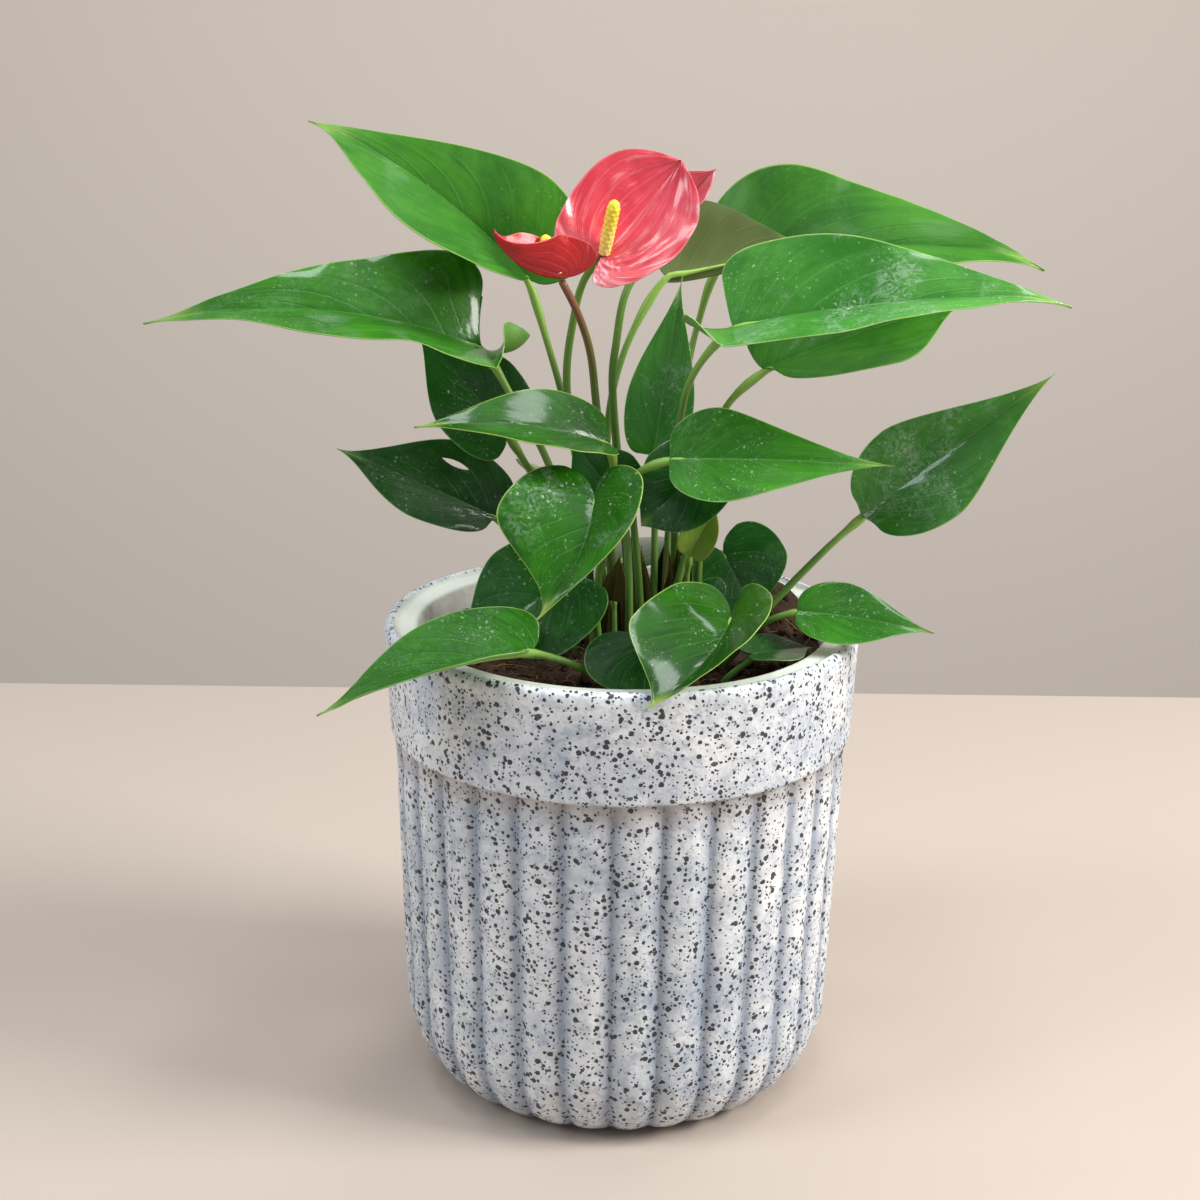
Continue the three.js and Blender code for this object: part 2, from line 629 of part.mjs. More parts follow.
// The flowers: a spathe is a blade with a rounder outline, on a stem through the places of way
const FLOWERS = [
  {
    name: 'main', base: [-7, -14, 268], tip: [15.3, -6, 294.5], face: [-0.05, -0.9, 0.35], half: 19,
    side: [1.05, 0.98], widest: 0.45, lobe: [8.5, 8], lobeX: 0.5, taper: 0.7, neck: 0.45, drip: 0.12,
    arch: -25, fold: 6, curl: 20,
    spadix: { base: [-7, -14, 268], tip: [-4, -20, 284], radius: 1.9 },
    way: [[-6, 5], [-18, 2, 224], [-16, -4, 247], [-13, -8, 259], [-7.5, -12.8, 267.5]],
  },
  {
    name: 'cup', base: [-19, -28, 262.6], tip: [-38, -36, 277], face: [-0.15, 0.1, 0.95], half: 13,
    side: [1, 0.85], widest: [0.25, 0.35], lobe: [10, 7], taper: [0.1, 0.8], neck: 0.2, arch: -60,
    hook: -30, fold: [60, 66], tipFold: [40, 66], curl: 15,
    spadix: { base: [-20, -28, 263.6], tip: [-25, -27, 276.5], radius: 1.7 },
    way: [[-3, -2], [-9, -4, 222], [-11, -12, 239], [-15, -22, 252.5], [-19, -27.5, 261.2]],
  },
  {
    name: 'rear', base: [17, 20, 279], tip: [27, 20, 290], face: [-0.5, -0.8, 0.2], half: 8, lobe: 3,
    taper: 0.4, neck: 0.2, arch: -10, fold: 40,
    spadix: null,
    way: [[2, 8], [-4, 5, 227], [-3, 6, 238], [0, 8, 254], [9, 14, 267], [16, 19.5, 278]],
  },
];

function footPoint(foot, leave) {
  const z = soilHeight(foot[0], foot[1]);
  const direction = new THREE.Vector3(...(leave ?? [0, 0, 1])).normalize();
  return new THREE.Vector3(foot[0], foot[1], z).addScaledVector(direction, -STEM_DEPTH / direction.z);
}

function wayCurve(way) {
  const points = [footPoint(way[0]), new THREE.Vector3(way[0][0], way[0][1], SOIL_Z + 20)];
  way.slice(1).forEach((place) => points.push(new THREE.Vector3(...place)));
  return new THREE.CatmullRomCurve3(points, false, 'centripetal');
}

function spadixGeometry({ base, tip, radius }) {
  const sides = 8;
  const rows = 13;
  const roundFrom = 0.82;
  const foot = new THREE.Vector3(...base);
  const axis = new THREE.Vector3(...tip).sub(foot);
  const length = axis.length();
  const rings = [];
  for (let row = 0; row <= rows; row += 1) {
    const s = row / rows;
    const endShare = Math.max(0, (s - roundFrom) / (1 - roundFrom));
    const body = radius * Math.sqrt(Math.max(0.06, 1 - endShare ** 2)) * lerp(0.88, 1, Math.min(1, 4 * s));
    const knobs = (angle) => {
      const side = Math.round((angle / (2 * Math.PI)) * sides);
      return body * ((side + row) % 2 === 0 ? 1.06 : 0.96);
    };
    rings.push(ringOf(knobs, s * length, sides));
  }
  const geometry = closedStack(rings, 0, length);
  const turn = new THREE.Quaternion().setFromUnitVectors(new THREE.Vector3(0, 0, 1), axis.normalize());
  geometry.applyQuaternion(turn);
  geometry.translate(foot.x, foot.y, foot.z);
  return geometry;
}

// The slit torn in one leaf: a lens-shaped opening that runs through the blade from front to back
function slitGeometry({ middle, length, width, turn }) {
  const lens = new THREE.Shape();
  lens.moveTo(-length / 2, 0);
  lens.quadraticCurveTo(0, width, length / 2, 0);
  lens.quadraticCurveTo(0, -width, -length / 2, 0);
  const through = 40;
  const geometry = new THREE.ExtrudeGeometry(lens, { depth: through, bevelEnabled: false, curveSegments: 3 });
  geometry.rotateZ(radians(turn));
  geometry.rotateX(Math.PI / 2);
  geometry.translate(middle[0], middle[1] + through / 2, middle[2]);
  return geometry;
}

const plant = new THREE.Group();
plant.add(named('pot', potGeometry(), 'pot'));

let soil = solidOf(soilGeometry());
const stand = (curve, steps, radiusAt) => {
  const below = curve.getTangent(0).multiplyScalar(-1.3 * CLEARANCE);
  const hole = stalkGeometry(curve, steps, (s) => radiusAt(s) + 1.6 * CLEARANCE);
  soil = soil.subtract(solidOf(hole.translate(below.x, below.y, below.z)));
};

for (const spec of LEAVES) {
  const blade = bladeOf(spec);
  const rib = midrib(blade);
  const curve = stalkCurve(blade, rib, spec.stalk);
  const stalk = solidOf(stalkGeometry(curve, STALK_STEPS, stalkRadius));
  let leaf = solidOf(bladeGeometry(blade, rib)).add(stalk);
  if (spec.slit) leaf = leaf.subtract(solidOf(slitGeometry(spec.slit)));
  plant.add(named(spec.name, geometryFrom(leaf), 'leaf'));
  stand(curve, STALK_STEPS, stalkRadius);
}

for (const flower of FLOWERS) {
  const blade = bladeOf(flower);
  const spathe = solidOf(bladeGeometry(blade, midrib(blade)));
  const curve = wayCurve(flower.way);
  const stemRadius = (s) => lerp(STEM_FOOT_RADIUS, STEM_TOP_RADIUS, s);
  const sleeve = (offset) => solidOf(stalkGeometry(curve, STEM_STEPS, (s) => stemRadius(s) + offset));
  plant.add(named(`spathe_${flower.name}`, geometryFrom(spathe.subtract(sleeve(CLEARANCE))), 'spathe'));
  plant.add(named(`flower_stem_${flower.name}`, geometryFrom(sleeve(0)), 'stem'));
  if (flower.spadix) {
    const thick = { ...blade, thickness: BLADE_THICKNESS + 2 * CLEARANCE };
    const seat = solidOf(bladeGeometry(thick, midrib(thick)));
    const whole = solidOf(spadixGeometry(flower.spadix));
    const spadix = largestOf(whole.subtract(seat).subtract(sleeve(CLEARANCE)));
    plant.add(named(`spadix_${flower.name}`, geometryFrom(spadix), 'spadix'));
  }
  stand(curve, STEM_STEPS, stemRadius);
}
plant.add(named('soil', geometryFrom(soil), 'soil'));

export default plant;
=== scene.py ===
"""The looks of a potted flamingo flower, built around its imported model.

A speckled ceramic pot with a fluted body, the peat mix in it, glossy heart-shaped leaves on their
stalks, and three waxy red spathes on their stems. The frame is in metres, +Z up, with the front
facing -Y. The shapes are worked out in millimetres and made metres when a mesh is built.
"""
from __future__ import annotations

import logging
import math
from collections.abc import Sequence
from dataclasses import dataclass, field
from enum import Enum

import bmesh
import bpy
import numpy as np
from mathutils import Matrix, Vector

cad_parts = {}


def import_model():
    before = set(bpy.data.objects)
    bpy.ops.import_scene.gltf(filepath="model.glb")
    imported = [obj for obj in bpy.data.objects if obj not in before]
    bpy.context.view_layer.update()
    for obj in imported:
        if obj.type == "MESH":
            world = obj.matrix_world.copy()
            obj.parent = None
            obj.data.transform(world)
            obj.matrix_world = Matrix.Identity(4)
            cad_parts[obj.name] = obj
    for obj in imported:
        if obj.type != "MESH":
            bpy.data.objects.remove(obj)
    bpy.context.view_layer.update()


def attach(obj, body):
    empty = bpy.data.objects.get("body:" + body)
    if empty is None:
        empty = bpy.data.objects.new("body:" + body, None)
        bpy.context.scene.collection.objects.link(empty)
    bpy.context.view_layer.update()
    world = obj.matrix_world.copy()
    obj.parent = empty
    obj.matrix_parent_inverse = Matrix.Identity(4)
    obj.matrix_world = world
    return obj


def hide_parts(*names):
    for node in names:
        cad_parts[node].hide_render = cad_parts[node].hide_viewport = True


LOG = logging.getLogger("flamingo_flower")
MM = 0.001
WELD = 0.002

# Driving dimensions, in millimetres, but counts, shares and RIB_TURN, which is in degrees
POT_HEIGHT = 152.0
RIM_RADIUS = 75.0
RIM_RIDGE_RADIUS = 73.2
COLLAR_HEIGHT = 35.0
COLLAR_FOOT_RADIUS = 73.6
BODY_TOP_RADIUS = 72.5
BODY_FOOT_RADIUS = 69.6
BASE_RADIUS = 50.0
BASE_FILLET_HEIGHT = 28.0
RIB_COUNT = 30
RIB_DEPTH = 2.0
RIB_TURN = -2.0
LEDGE_RADIUS = 70.9
LEDGE_Z = 150.5
MOUTH_RADIUS = 64.5
FLOOR_RADIUS = 57.0
FLOOR_Z = 8.0
SOIL_Z = 141.0
HEAP_HEIGHT = 16.0
HEAP_SPREAD = 17.0
HEAP_X = 47.0
HEAP_Y = 26.0
STEM_DEPTH = 4.0
STALK_FOOT_RADIUS = 1.5
STALK_TOP_RADIUS = 1.05
STALK_END_RADIUS = 0.22
STALK_END_DROP = 1.15
STALK_SHARE = 0.92
STALK_SIDES = 12
KNEE_RADIUS = 1.6
KNEE_PLACE = 0.88
KNEE_SPREAD = 0.05
STEM_TOP_RADIUS = 1.1
STEM_SIDES = 14
LEAF_SKIN = 0.5
SPATHE_SKIN = 0.65
HUSK_SKIN = 0.3

# How a blade's outline and veins run, as shares or counts
HOOK_FROM = 0.7
WIDEST_AT = 0.4
VEIN_SWEEP = 1.8
VEINS = 8
VEIN_LEAN = 2.4
SPATHE_VEINS = 4
GRAINS = 7
SPIKE_ROUND_FROM = 0.82

# Where a stalk runs on under its blade, as shares of the midrib, and how far below it is there
UNDER_AT = (0.1, 0.2, 0.34, 0.48, 0.62)
UNDER_BY = (0.9, 0.78, 0.64, 0.54, 0.46)

# How deep or high the low relief is, in millimetres, but GRAIN_SHARE as a share of the radius
LEAF_CHANNEL = 0.16
LEAF_VEIN = 0.06
LEAF_FIELD = 0.06
LEAF_RIPPLE = 0.4
LEAF_SWAY = 0.5
SPATHE_CHANNEL = 0.2
SPATHE_VEIN = 0.2
SPATHE_FIELD = 0.2
SPATHE_PUCKER = 0.4
SPATHE_RIPPLE = 0.35
POT_SWAY = 0.16
POT_GRAIN = 0.22
GRAIN_SHARE = 0.075

Triple = tuple[float, float, float]
Pair = float | tuple[float, float]


def of_half(value: Pair, half: int) -> float:
    """Gives the value of one half, where a pair holds (left, right)."""
    return float(value[half]) if isinstance(value, tuple) else float(value)


def unit(vector: Sequence[float]) -> np.ndarray:
    """Gives the vector at length one."""
    vector = np.asarray(vector, float)
    return vector / np.linalg.norm(vector)


def tint(code: str) -> tuple[float, float, float, float]:
    """Turns a display colour into a linear one.

    Args:
        code: six digits, two each for red, green and blue.

    Returns:
        Linear red, green and blue, and alpha.
    """
    parts = [int(code[i:i + 2], 16) / 255 for i in (0, 2, 4)]
    linear = [c / 12.92 if c <= 0.04045 else ((c + 0.055) / 1.055) ** 2.4 for c in parts]
    return (linear[0], linear[1], linear[2], 1.0)


# Curves and meshes


def cubic(t: np.ndarray, a: float | np.ndarray, b: float | np.ndarray, c: float | np.ndarray,
          d: float | np.ndarray) -> np.ndarray:
    """Gives a Bezier curve's values at t, by its two ends a and d and its two handles b and c."""
    return (1 - t) ** 3 * a + 3 * (1 - t) ** 2 * t * b + 3 * (1 - t) * t * t * c + t ** 3 * d


def swung(angle: float | np.ndarray, one: np.ndarray, other: np.ndarray) -> np.ndarray:
    """Turns a direction by an angle towards another: cosine times one plus sine times the other."""
    return np.cos(angle)[..., None] * one + np.sin(angle)[..., None] * other


def around(radius: float | np.ndarray, turn: np.ndarray) -> tuple[np.ndarray, np.ndarray]:
    """Gives x and y at a radius from the pot's axis and a turn from the front."""
    return radius * np.sin(turn), -radius * np.cos(turn)


def gone_along(path: np.ndarray) -> np.ndarray:
    """Gives the length of a path up to each of its points."""
    return np.concatenate([[0], np.cumsum(np.linalg.norm(np.diff(path, axis=0), axis=1))])


def evenly(path: np.ndarray, count: int) -> np.ndarray:
    """Resamples a path at even steps along its length.

    Args:
        path: the points, one row each.
        count: how many points it gets.

    Returns:
        The new points.
    """
    gone = gone_along(path)
    wanted = np.linspace(0, gone[-1], count)
    return np.stack([np.interp(wanted, gone, path[:, axis]) for axis in range(3)], axis=1)


def eased(path: np.ndarray, count: int, rounds: int) -> np.ndarray:
    """Resamples a path at even steps and rounds its corners.

    Each round moves every inner point halfway to the middle of its neighbours.

    Args:
        path: the points, one row each.
        count: how many points it gets.
        rounds: how many times they are moved.

    Returns:
        The new points.
    """
    even = evenly(path, count)
    for _ in range(rounds):
        even[1:-1] = even[1:-1] / 2 + (even[:-2] + even[2:]) / 4
    return even


def through(places: Sequence[np.ndarray], count: int) -> np.ndarray:
    """Carries a smooth curve through places.

    It is the centripetal Catmull-Rom curve: cubic between two places, with a slope at each place
    that weighs its two chords by the roots of their lengths.

    Args:
        places: the places that the curve passes.
        count: how many evenly spaced points it gets.

    Returns:
        The points, one row each.
    """
    inner = np.asarray(places, float)
    line = np.concatenate([[2 * inner[0] - inner[1]], inner, [2 * inner[-1] - inner[-2]]])
    gap = np.sqrt(np.linalg.norm(np.diff(line, axis=0), axis=1))[:, None]
    p0, p1, p2, p3 = line[:-3], line[1:-2], line[2:-1], line[3:]
    d0, d1, d2 = gap[:-2], gap[1:-1], gap[2:]
    out = ((p1 - p0) / d0 - (p2 - p0) / (d0 + d1) + (p2 - p1) / d1) * d1
    into = ((p2 - p1) / d1 - (p3 - p1) / (d1 + d2) + (p3 - p2) / d2) * d1
    t = np.linspace(0, 1, 16, endpoint=False)[None, :, None]
    p1, p2, out, into = p1[:, None], p2[:, None], out[:, None], into[:, None]
    curve = (p1 + out * t + (3 * (p2 - p1) - 2 * out - into) * t ** 2
             + (2 * (p1 - p2) + out + into) * t ** 3)
    return evenly(np.concatenate([curve.reshape(-1, 3), inner[-1:]]), count)


@dataclass
class Patch:
    """One grid of points, or many alike: (copies by) rows by columns by three, in millimetres.

    marks holds three numbers a point for the finish, wrap joins the last column to the first, and
    finish is the place of its material in the piece's list.
    """

    points: np.ndarray
    marks: np.ndarray | None = None
    wrap: bool = False
    finish: int = 0


def faces_of(patch: Patch, start: int) -> np.ndarray:
    """Numbers the four corners of every cell of a patch.

    Args:
        patch: the grid, or the many alike.
        start: the number of its first vertex.

    Returns:
        Four vertex numbers for each cell.
    """
    shape = patch.points.shape[-4:-1] if patch.points.ndim == 4 else (1, *patch.points.shape[:2])
    index = start + np.arange(math.prod(shape)).reshape(shape)
    if patch.wrap:
        index = np.concatenate([index, index[..., :1]], axis=-1)
    corners = [index[:, :-1, :-1], index[:, :-1, 1:], index[:, 1:, 1:], index[:, 1:, :-1]]
    return np.stack(corners, axis=-1).reshape(-1, 4)


def piece_from(name: str, patches: Sequence[Patch],
               finishes: Sequence[bpy.types.Material]) -> bpy.types.Object:
    """Builds one smooth object from patches, and welds points that are less than WELD apart.

    Args:
        name: the object's name.
        patches: the grids, in millimetres.
        finishes: the materials that the patches' finish numbers point to.

    Returns:
        The new object, at the origin, with its mesh in metres.
    """
    starts = np.cumsum([0] + [patch.points.size // 3 for patch in patches])
    points = np.concatenate([patch.points.reshape(-1, 3) for patch in patches]) * MM
    marks = np.concatenate([
        (np.zeros(patch.points.shape) if patch.marks is None else patch.marks).reshape(-1, 3)
        for patch in patches
    ])
    faces = [faces_of(patch, start) for patch, start in zip(patches, starts)]
    quads = np.concatenate(faces)
    slots = np.repeat([patch.finish for patch in patches], [len(part) for part in faces])
    mesh = bpy.data.meshes.new(name)
    mesh.vertices.add(len(points))
    mesh.vertices.foreach_set("co", points.astype(np.float32).ravel())
    mesh.loops.add(quads.size)
    mesh.loops.foreach_set("vertex_index", quads.astype(np.int32).ravel())
    mesh.polygons.add(len(quads))
    mesh.polygons.foreach_set("loop_start", np.arange(0, quads.size, 4, dtype=np.int32))
    for finish in finishes:
        mesh.materials.append(finish)
    mesh.polygons.foreach_set("material_index", slots.astype(np.int32))
    mesh.polygons.foreach_set("use_smooth", np.ones(len(quads), bool))
    mesh.attributes.new("marks", "FLOAT_VECTOR", "POINT").data.foreach_set(
        "vector", marks.astype(np.float32).ravel())
    mesh.update(calc_edges=True)
    work = bmesh.new()
    work.from_mesh(mesh)
    bmesh.ops.remove_doubles(work, verts=work.verts, dist=WELD * MM)
    bmesh.ops.recalc_face_normals(work, faces=work.faces)
    work.to_mesh(mesh)
    work.free()
    mesh.update()
    piece = bpy.data.objects.new(name, mesh)
    bpy.context.scene.collection.objects.link(piece)
    return piece


def place(piece: bpy.types.Object, slot: str, *nodes: str) -> bpy.types.Object:
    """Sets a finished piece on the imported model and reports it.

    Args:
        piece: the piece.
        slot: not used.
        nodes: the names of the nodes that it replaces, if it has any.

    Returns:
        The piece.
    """
    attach(piece, "root")
    if nodes:
        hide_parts(*nodes)
    LOG.info("%s: %d faces", piece.name, len(piece.data.polygons))
    return piece


def marked(points: np.ndarray, first: float | np.ndarray) -> np.ndarray:
    """Gives points their marks: the first number as given, and two zeros.

    Args:
        points: the places.
        first: the first number, for all of them or for each.

    Returns:
        Three numbers for each place.
    """
    marks = np.zeros(points.shape)
    marks[..., 0] = first
    return marks


def swell(points: np.ndarray, waves: int, length: float, seed: int) -> np.ndarray:
    """Gives a smooth random height in about -1 to 1: a sum of sines in random directions.

    Args:
        points: any array of places, in millimetres, whose last axis holds the coordinates.
        waves: how many sines are added.
        length: the middle wavelength, in millimetres.
        seed: fixes the draw.

    Returns:
        One height for each place.
    """
    draw = np.random.default_rng(seed)
    ways = draw.normal(size=(waves, points.shape[-1]))
    ways /= np.linalg.norm(ways, axis=1, keepdims=True)
    ways *= (2 * math.pi / (length * draw.uniform(0.6, 1.6, waves)))[:, None]
    phases = draw.uniform(0, 2 * math.pi, waves)
    return np.sin(points @ ways.T + phases).sum(-1) / math.sqrt(waves) / 1.4


def tube(path: np.ndarray, radii: np.ndarray, sides: int, share: np.ndarray,
         finish: int = 0) -> Patch:
    """Carries a round section along a path, closed to a point at both ends.

    The section's first direction is square to the plane that the path bends in, found as the least
    spread direction of its points, and the second is square to the first and to the path.

    Args:
        path: the centres, one row each.
        radii: the radius at each centre.
        sides: the number of sides.
        share: how far along each centre is, for the marks.
        finish: the place of the material.

    Returns:
        The tube as a wrapped patch.
    """
    tangents = np.gradient(path, axis=0)
    tangents /= np.linalg.norm(tangents, axis=1, keepdims=True)
    across = np.linalg.svd(path - path.mean(0))[2][-1]
    first = across - (tangents @ across)[:, None] * tangents
    first /= np.linalg.norm(first, axis=1, keepdims=True)
    second = np.cross(tangents, first)
    turn = np.linspace(0, 2 * math.pi, sides, endpoint=False)
    rows = np.concatenate([[0], np.arange(len(path)), [len(path) - 1]])
    sizes = np.concatenate([[0], radii, [0]])
    ring = swung(turn, first[rows, None], second[rows, None])
    points = path[rows, None] + sizes[:, None, None] * ring
    return Patch(points, marked(points, share[rows, None]), wrap=True, finish=finish)


# Shader maths


class Value:
    """A shader socket whose arithmetic adds Math nodes to its finish."""

    def __init__(self, shader: Shader, socket: bpy.types.NodeSocket) -> None:
        """Wraps one output socket of the shader's tree."""
        self.shader = shader
        self.socket = socket

    def __add__(self, other: Value | float) -> Value:
        """Adds."""
        return self.shader.math("ADD", self, other)

    def __sub__(self, other: Value | float) -> Value:
        """Subtracts."""
        return self.shader.math("SUBTRACT", self, other)

    def __rsub__(self, other: float) -> Value:
        """Subtracts from a number."""
        return self.shader.math("SUBTRACT", other, self)

    def __mul__(self, other: Value | float) -> Value:
        """Multiplies."""
        return self.shader.math("MULTIPLY", self, other)

    def __abs__(self) -> Value:
        """Drops the sign."""
        return self.shader.math("ABSOLUTE", self)

    __radd__ = __add__
    __rmul__ = __mul__

    def off_line(self) -> Value:
        """Gives how far it lies from the nearest number that ends in a half."""
        return abs(self.shader.math("FRACT", self) - 0.5)

    def least(self, other: Value | float) -> Value:
        """Takes the smaller of the two."""
        return self.shader.math("MINIMUM", self, other)

    def most(self, other: Value | float) -> Value:
        """Takes the larger of the two."""
        return self.shader.math("MAXIMUM", self, other)

    def step(self, low: float, high: float) -> Value:
        """Rises smoothly from 0 to 1, or falls where low is above high.

        Args:
            low: the value that gives 0.
            high: the value that gives 1.

        Returns:
            The step.
        """
        start, end = (low, high) if low < high else (high, low)
        ends = (0.0, 1.0) if low < high else (1.0, 0.0)
        return self.shader.value("ShaderNodeMapRange", {"interpolation_type": "SMOOTHSTEP"}, {
            "Value": self, "From Min": start, "From Max": end,
            "To Min": ends[0], "To Max": ends[1]})


Source = Value | float | tuple


class Shader:
    """One material and the few kinds of node that the finishes use."""

    def __init__(self, name: str) -> None:
        """Makes an empty material.

        Args:
            name: the material's name.
        """
        self.material = bpy.data.materials.new(name)
        self.material.use_nodes = True
        self.tree = self.material.node_tree
        self.tree.nodes.clear()
        self.place = self.value("ShaderNodeTexCoord", output="Object")

    def node(self, kind: str, settings: dict | None = None,
             inputs: dict[str | int, Source] | None = None) -> bpy.types.Node:
        """Adds a node, sets its settings and then its sockets.

        Args:
            kind: the node's type.
            settings: its properties; "stops" holds a ramp's places and display colours.
            inputs: a value or a linked socket for each named or numbered input.

        Returns:
            The new node.
        """
        node = self.tree.nodes.new(kind)
        for key, value in (settings or {}).items():
            if key == "stops":
                ramp = node.color_ramp
                while len(ramp.elements) < len(value):
                    ramp.elements.new(1.0)
                for element, (position, code) in zip(ramp.elements, value):
                    element.position = position
                    element.color = tint(code)
            else:
                setattr(node, key, value)
        for key, value in (inputs or {}).items():
            if isinstance(value, Value):
                self.tree.links.new(value.socket, node.inputs[key])
            else:
                node.inputs[key].default_value = value
        return node

    def value(self, kind: str, settings: dict | None = None,
              inputs: dict[str | int, Source] | None = None, output: str | int = 0) -> Value:
        """Adds a node as the node method does and gives one of its outputs."""
        return Value(self, self.node(kind, settings, inputs).outputs[output])

    def math(self, operation: str, first: Source, second: Source = 0.0) -> Value:
        """Adds a Math node."""
        return self.value("ShaderNodeMath", {"operation": operation}, {0: first, 1: second})

    def mix(self, share: Source, first: Source, second: Source) -> Value:
        """Blends two colours."""
        return self.value("ShaderNodeMix", {"data_type": "RGBA"},
                          {0: share, 6: first, 7: second}, 2)

    def painted(self, colour: Source, *layers: tuple[Source, str]) -> Source:
        """Lays display colours over a colour, one after another.

        Args:
            colour: the lowest colour.
            layers: the share and the display colour of each layer.

        Returns:
            The whole colour.
        """
        for share, code in layers:
            colour = self.mix(share, colour, tint(code))
        return colour

    def ramp(self, value: Value, *stops: tuple[float, str]) -> Value:
        """Turns a value into a colour by its stops."""
        return self.value("ShaderNodeValToRGB", {"stops": stops}, {0: value})

    def split(self, vector: Value) -> list[Value]:
        """Gives the three parts of a vector."""
        outputs = self.node("ShaderNodeSeparateXYZ", None, {0: vector}).outputs
        return [Value(self, output) for output in outputs]

    def marks(self) -> list[Value]:
        """Gives the three numbers that the piece's points carry."""
        return self.split(self.value("ShaderNodeAttribute", {"attribute_name": "marks"},
                                     output="Vector"))

    def gather(self, x: Source, y: Source, z: Source) -> Value:
        """Makes a vector of three parts."""
        return self.value("ShaderNodeCombineXYZ", None, {0: x, 1: y, 2: z})

    def shifted(self, scale: float, reach: float) -> Value:
        """Moves the place about by noise.

        Args:
            scale: how many features of the noise a metre has.
            reach: twice the most that it moves each way, in metres.

        Returns:
            The moved place.
        """
        noise = self.value("ShaderNodeTexNoise", None,
                           {"Vector": self.place, "Scale": scale, "Detail": 1.0}, "Color")
        return self.value("ShaderNodeVectorMath", {"operation": "MULTIPLY_ADD"},
                          {0: noise, 1: (reach,) * 3, 2: self.place})

    def noise(self, scale: float, detail: float = 2.0, rough: float = 0.5, warp: float = 0.0,
              vector: Value | None = None) -> Value:
        """Gives soft noise from 0 to 1; scale counts its features in a metre."""
        return self.value("ShaderNodeTexNoise", None, {
            "Vector": vector or self.place, "Scale": scale, "Detail": detail, "Roughness": rough,
            "Distortion": warp}, "Fac")

    def cells(self, scale: float, vector: Value | None = None) -> tuple[Value, Value]:
        """Finds the nearest of scattered points.

        Args:
            scale: how many of them a metre has.
            vector: the place, where it isn't the piece's own.

        Returns:
            The distance to the point, as a share of its cell, and the point's own number.
        """
        node = self.node("ShaderNodeTexVoronoi", {"feature": "F1"},
                         {"Vector": vector or self.place, "Scale": scale})
        number = self.split(Value(self, node.outputs["Color"]))[0]
        return Value(self, node.outputs["Distance"]), number

    def bump(self, height: Value, strength: float, depth: float) -> Value:
        """Turns a height into a normal; depth is its reach in metres."""
        return self.value("ShaderNodeBump", None,
                          {"Height": height, "Strength": strength, "Distance": depth})

    def finish(self, colour: Source, rough: Source, normal: Value | None = None, coat: Source = 0.0,
               coat_rough: float = 0.1, shine: float = 0.5) -> bpy.types.Material:
        """Closes the tree with its surface.

        Args:
            colour: the base colour.
            rough: the roughness.
            normal: the bumped normal, if it has one.
            coat: the weight of the clear coat.
            coat_rough: the coat's roughness.
            shine: the specular level.

        Returns:
            The finished material.
        """
        inputs: dict[str | int, Source] = {
            "Base Color": colour, "Roughness": rough, "Coat Weight": coat,
            "Coat Roughness": coat_rough, "Specular IOR Level": shine}
        if normal is not None:
            inputs["Normal"] = normal
        surface = self.value("ShaderNodeBsdfPrincipled", None, inputs)
        self.node("ShaderNodeOutputMaterial", None, {0: surface})
        return self.material


# Blades, stalks and stems


@dataclass(frozen=True)
class Stalk:
    """How a leaf's stalk runs: where it stands, and how it leaves the soil and meets the blade.

    Leave and arrive are its ways at the foot and at the blade, and rise and reach say how far it
    keeps to each, as the handles of its curve. Without arrive it comes in between forward and up.
    """

    foot: tuple[float, float]
    leave: Triple = (0.0, 0.0, 1.0)
    rise: float = 40.0
    arrive: Triple | None = None
    reach: float = 25.0


@dataclass(frozen=True)
class Rib:
    """A blade's midrib: how it runs from the stalk's end to the tip, and the blade's three ways."""

    share: np.ndarray
    along: np.ndarray
    above: np.ndarray
    slope: np.ndarray
    length: float
    forward: np.ndarray
    up: np.ndarray
    right: np.ndarray


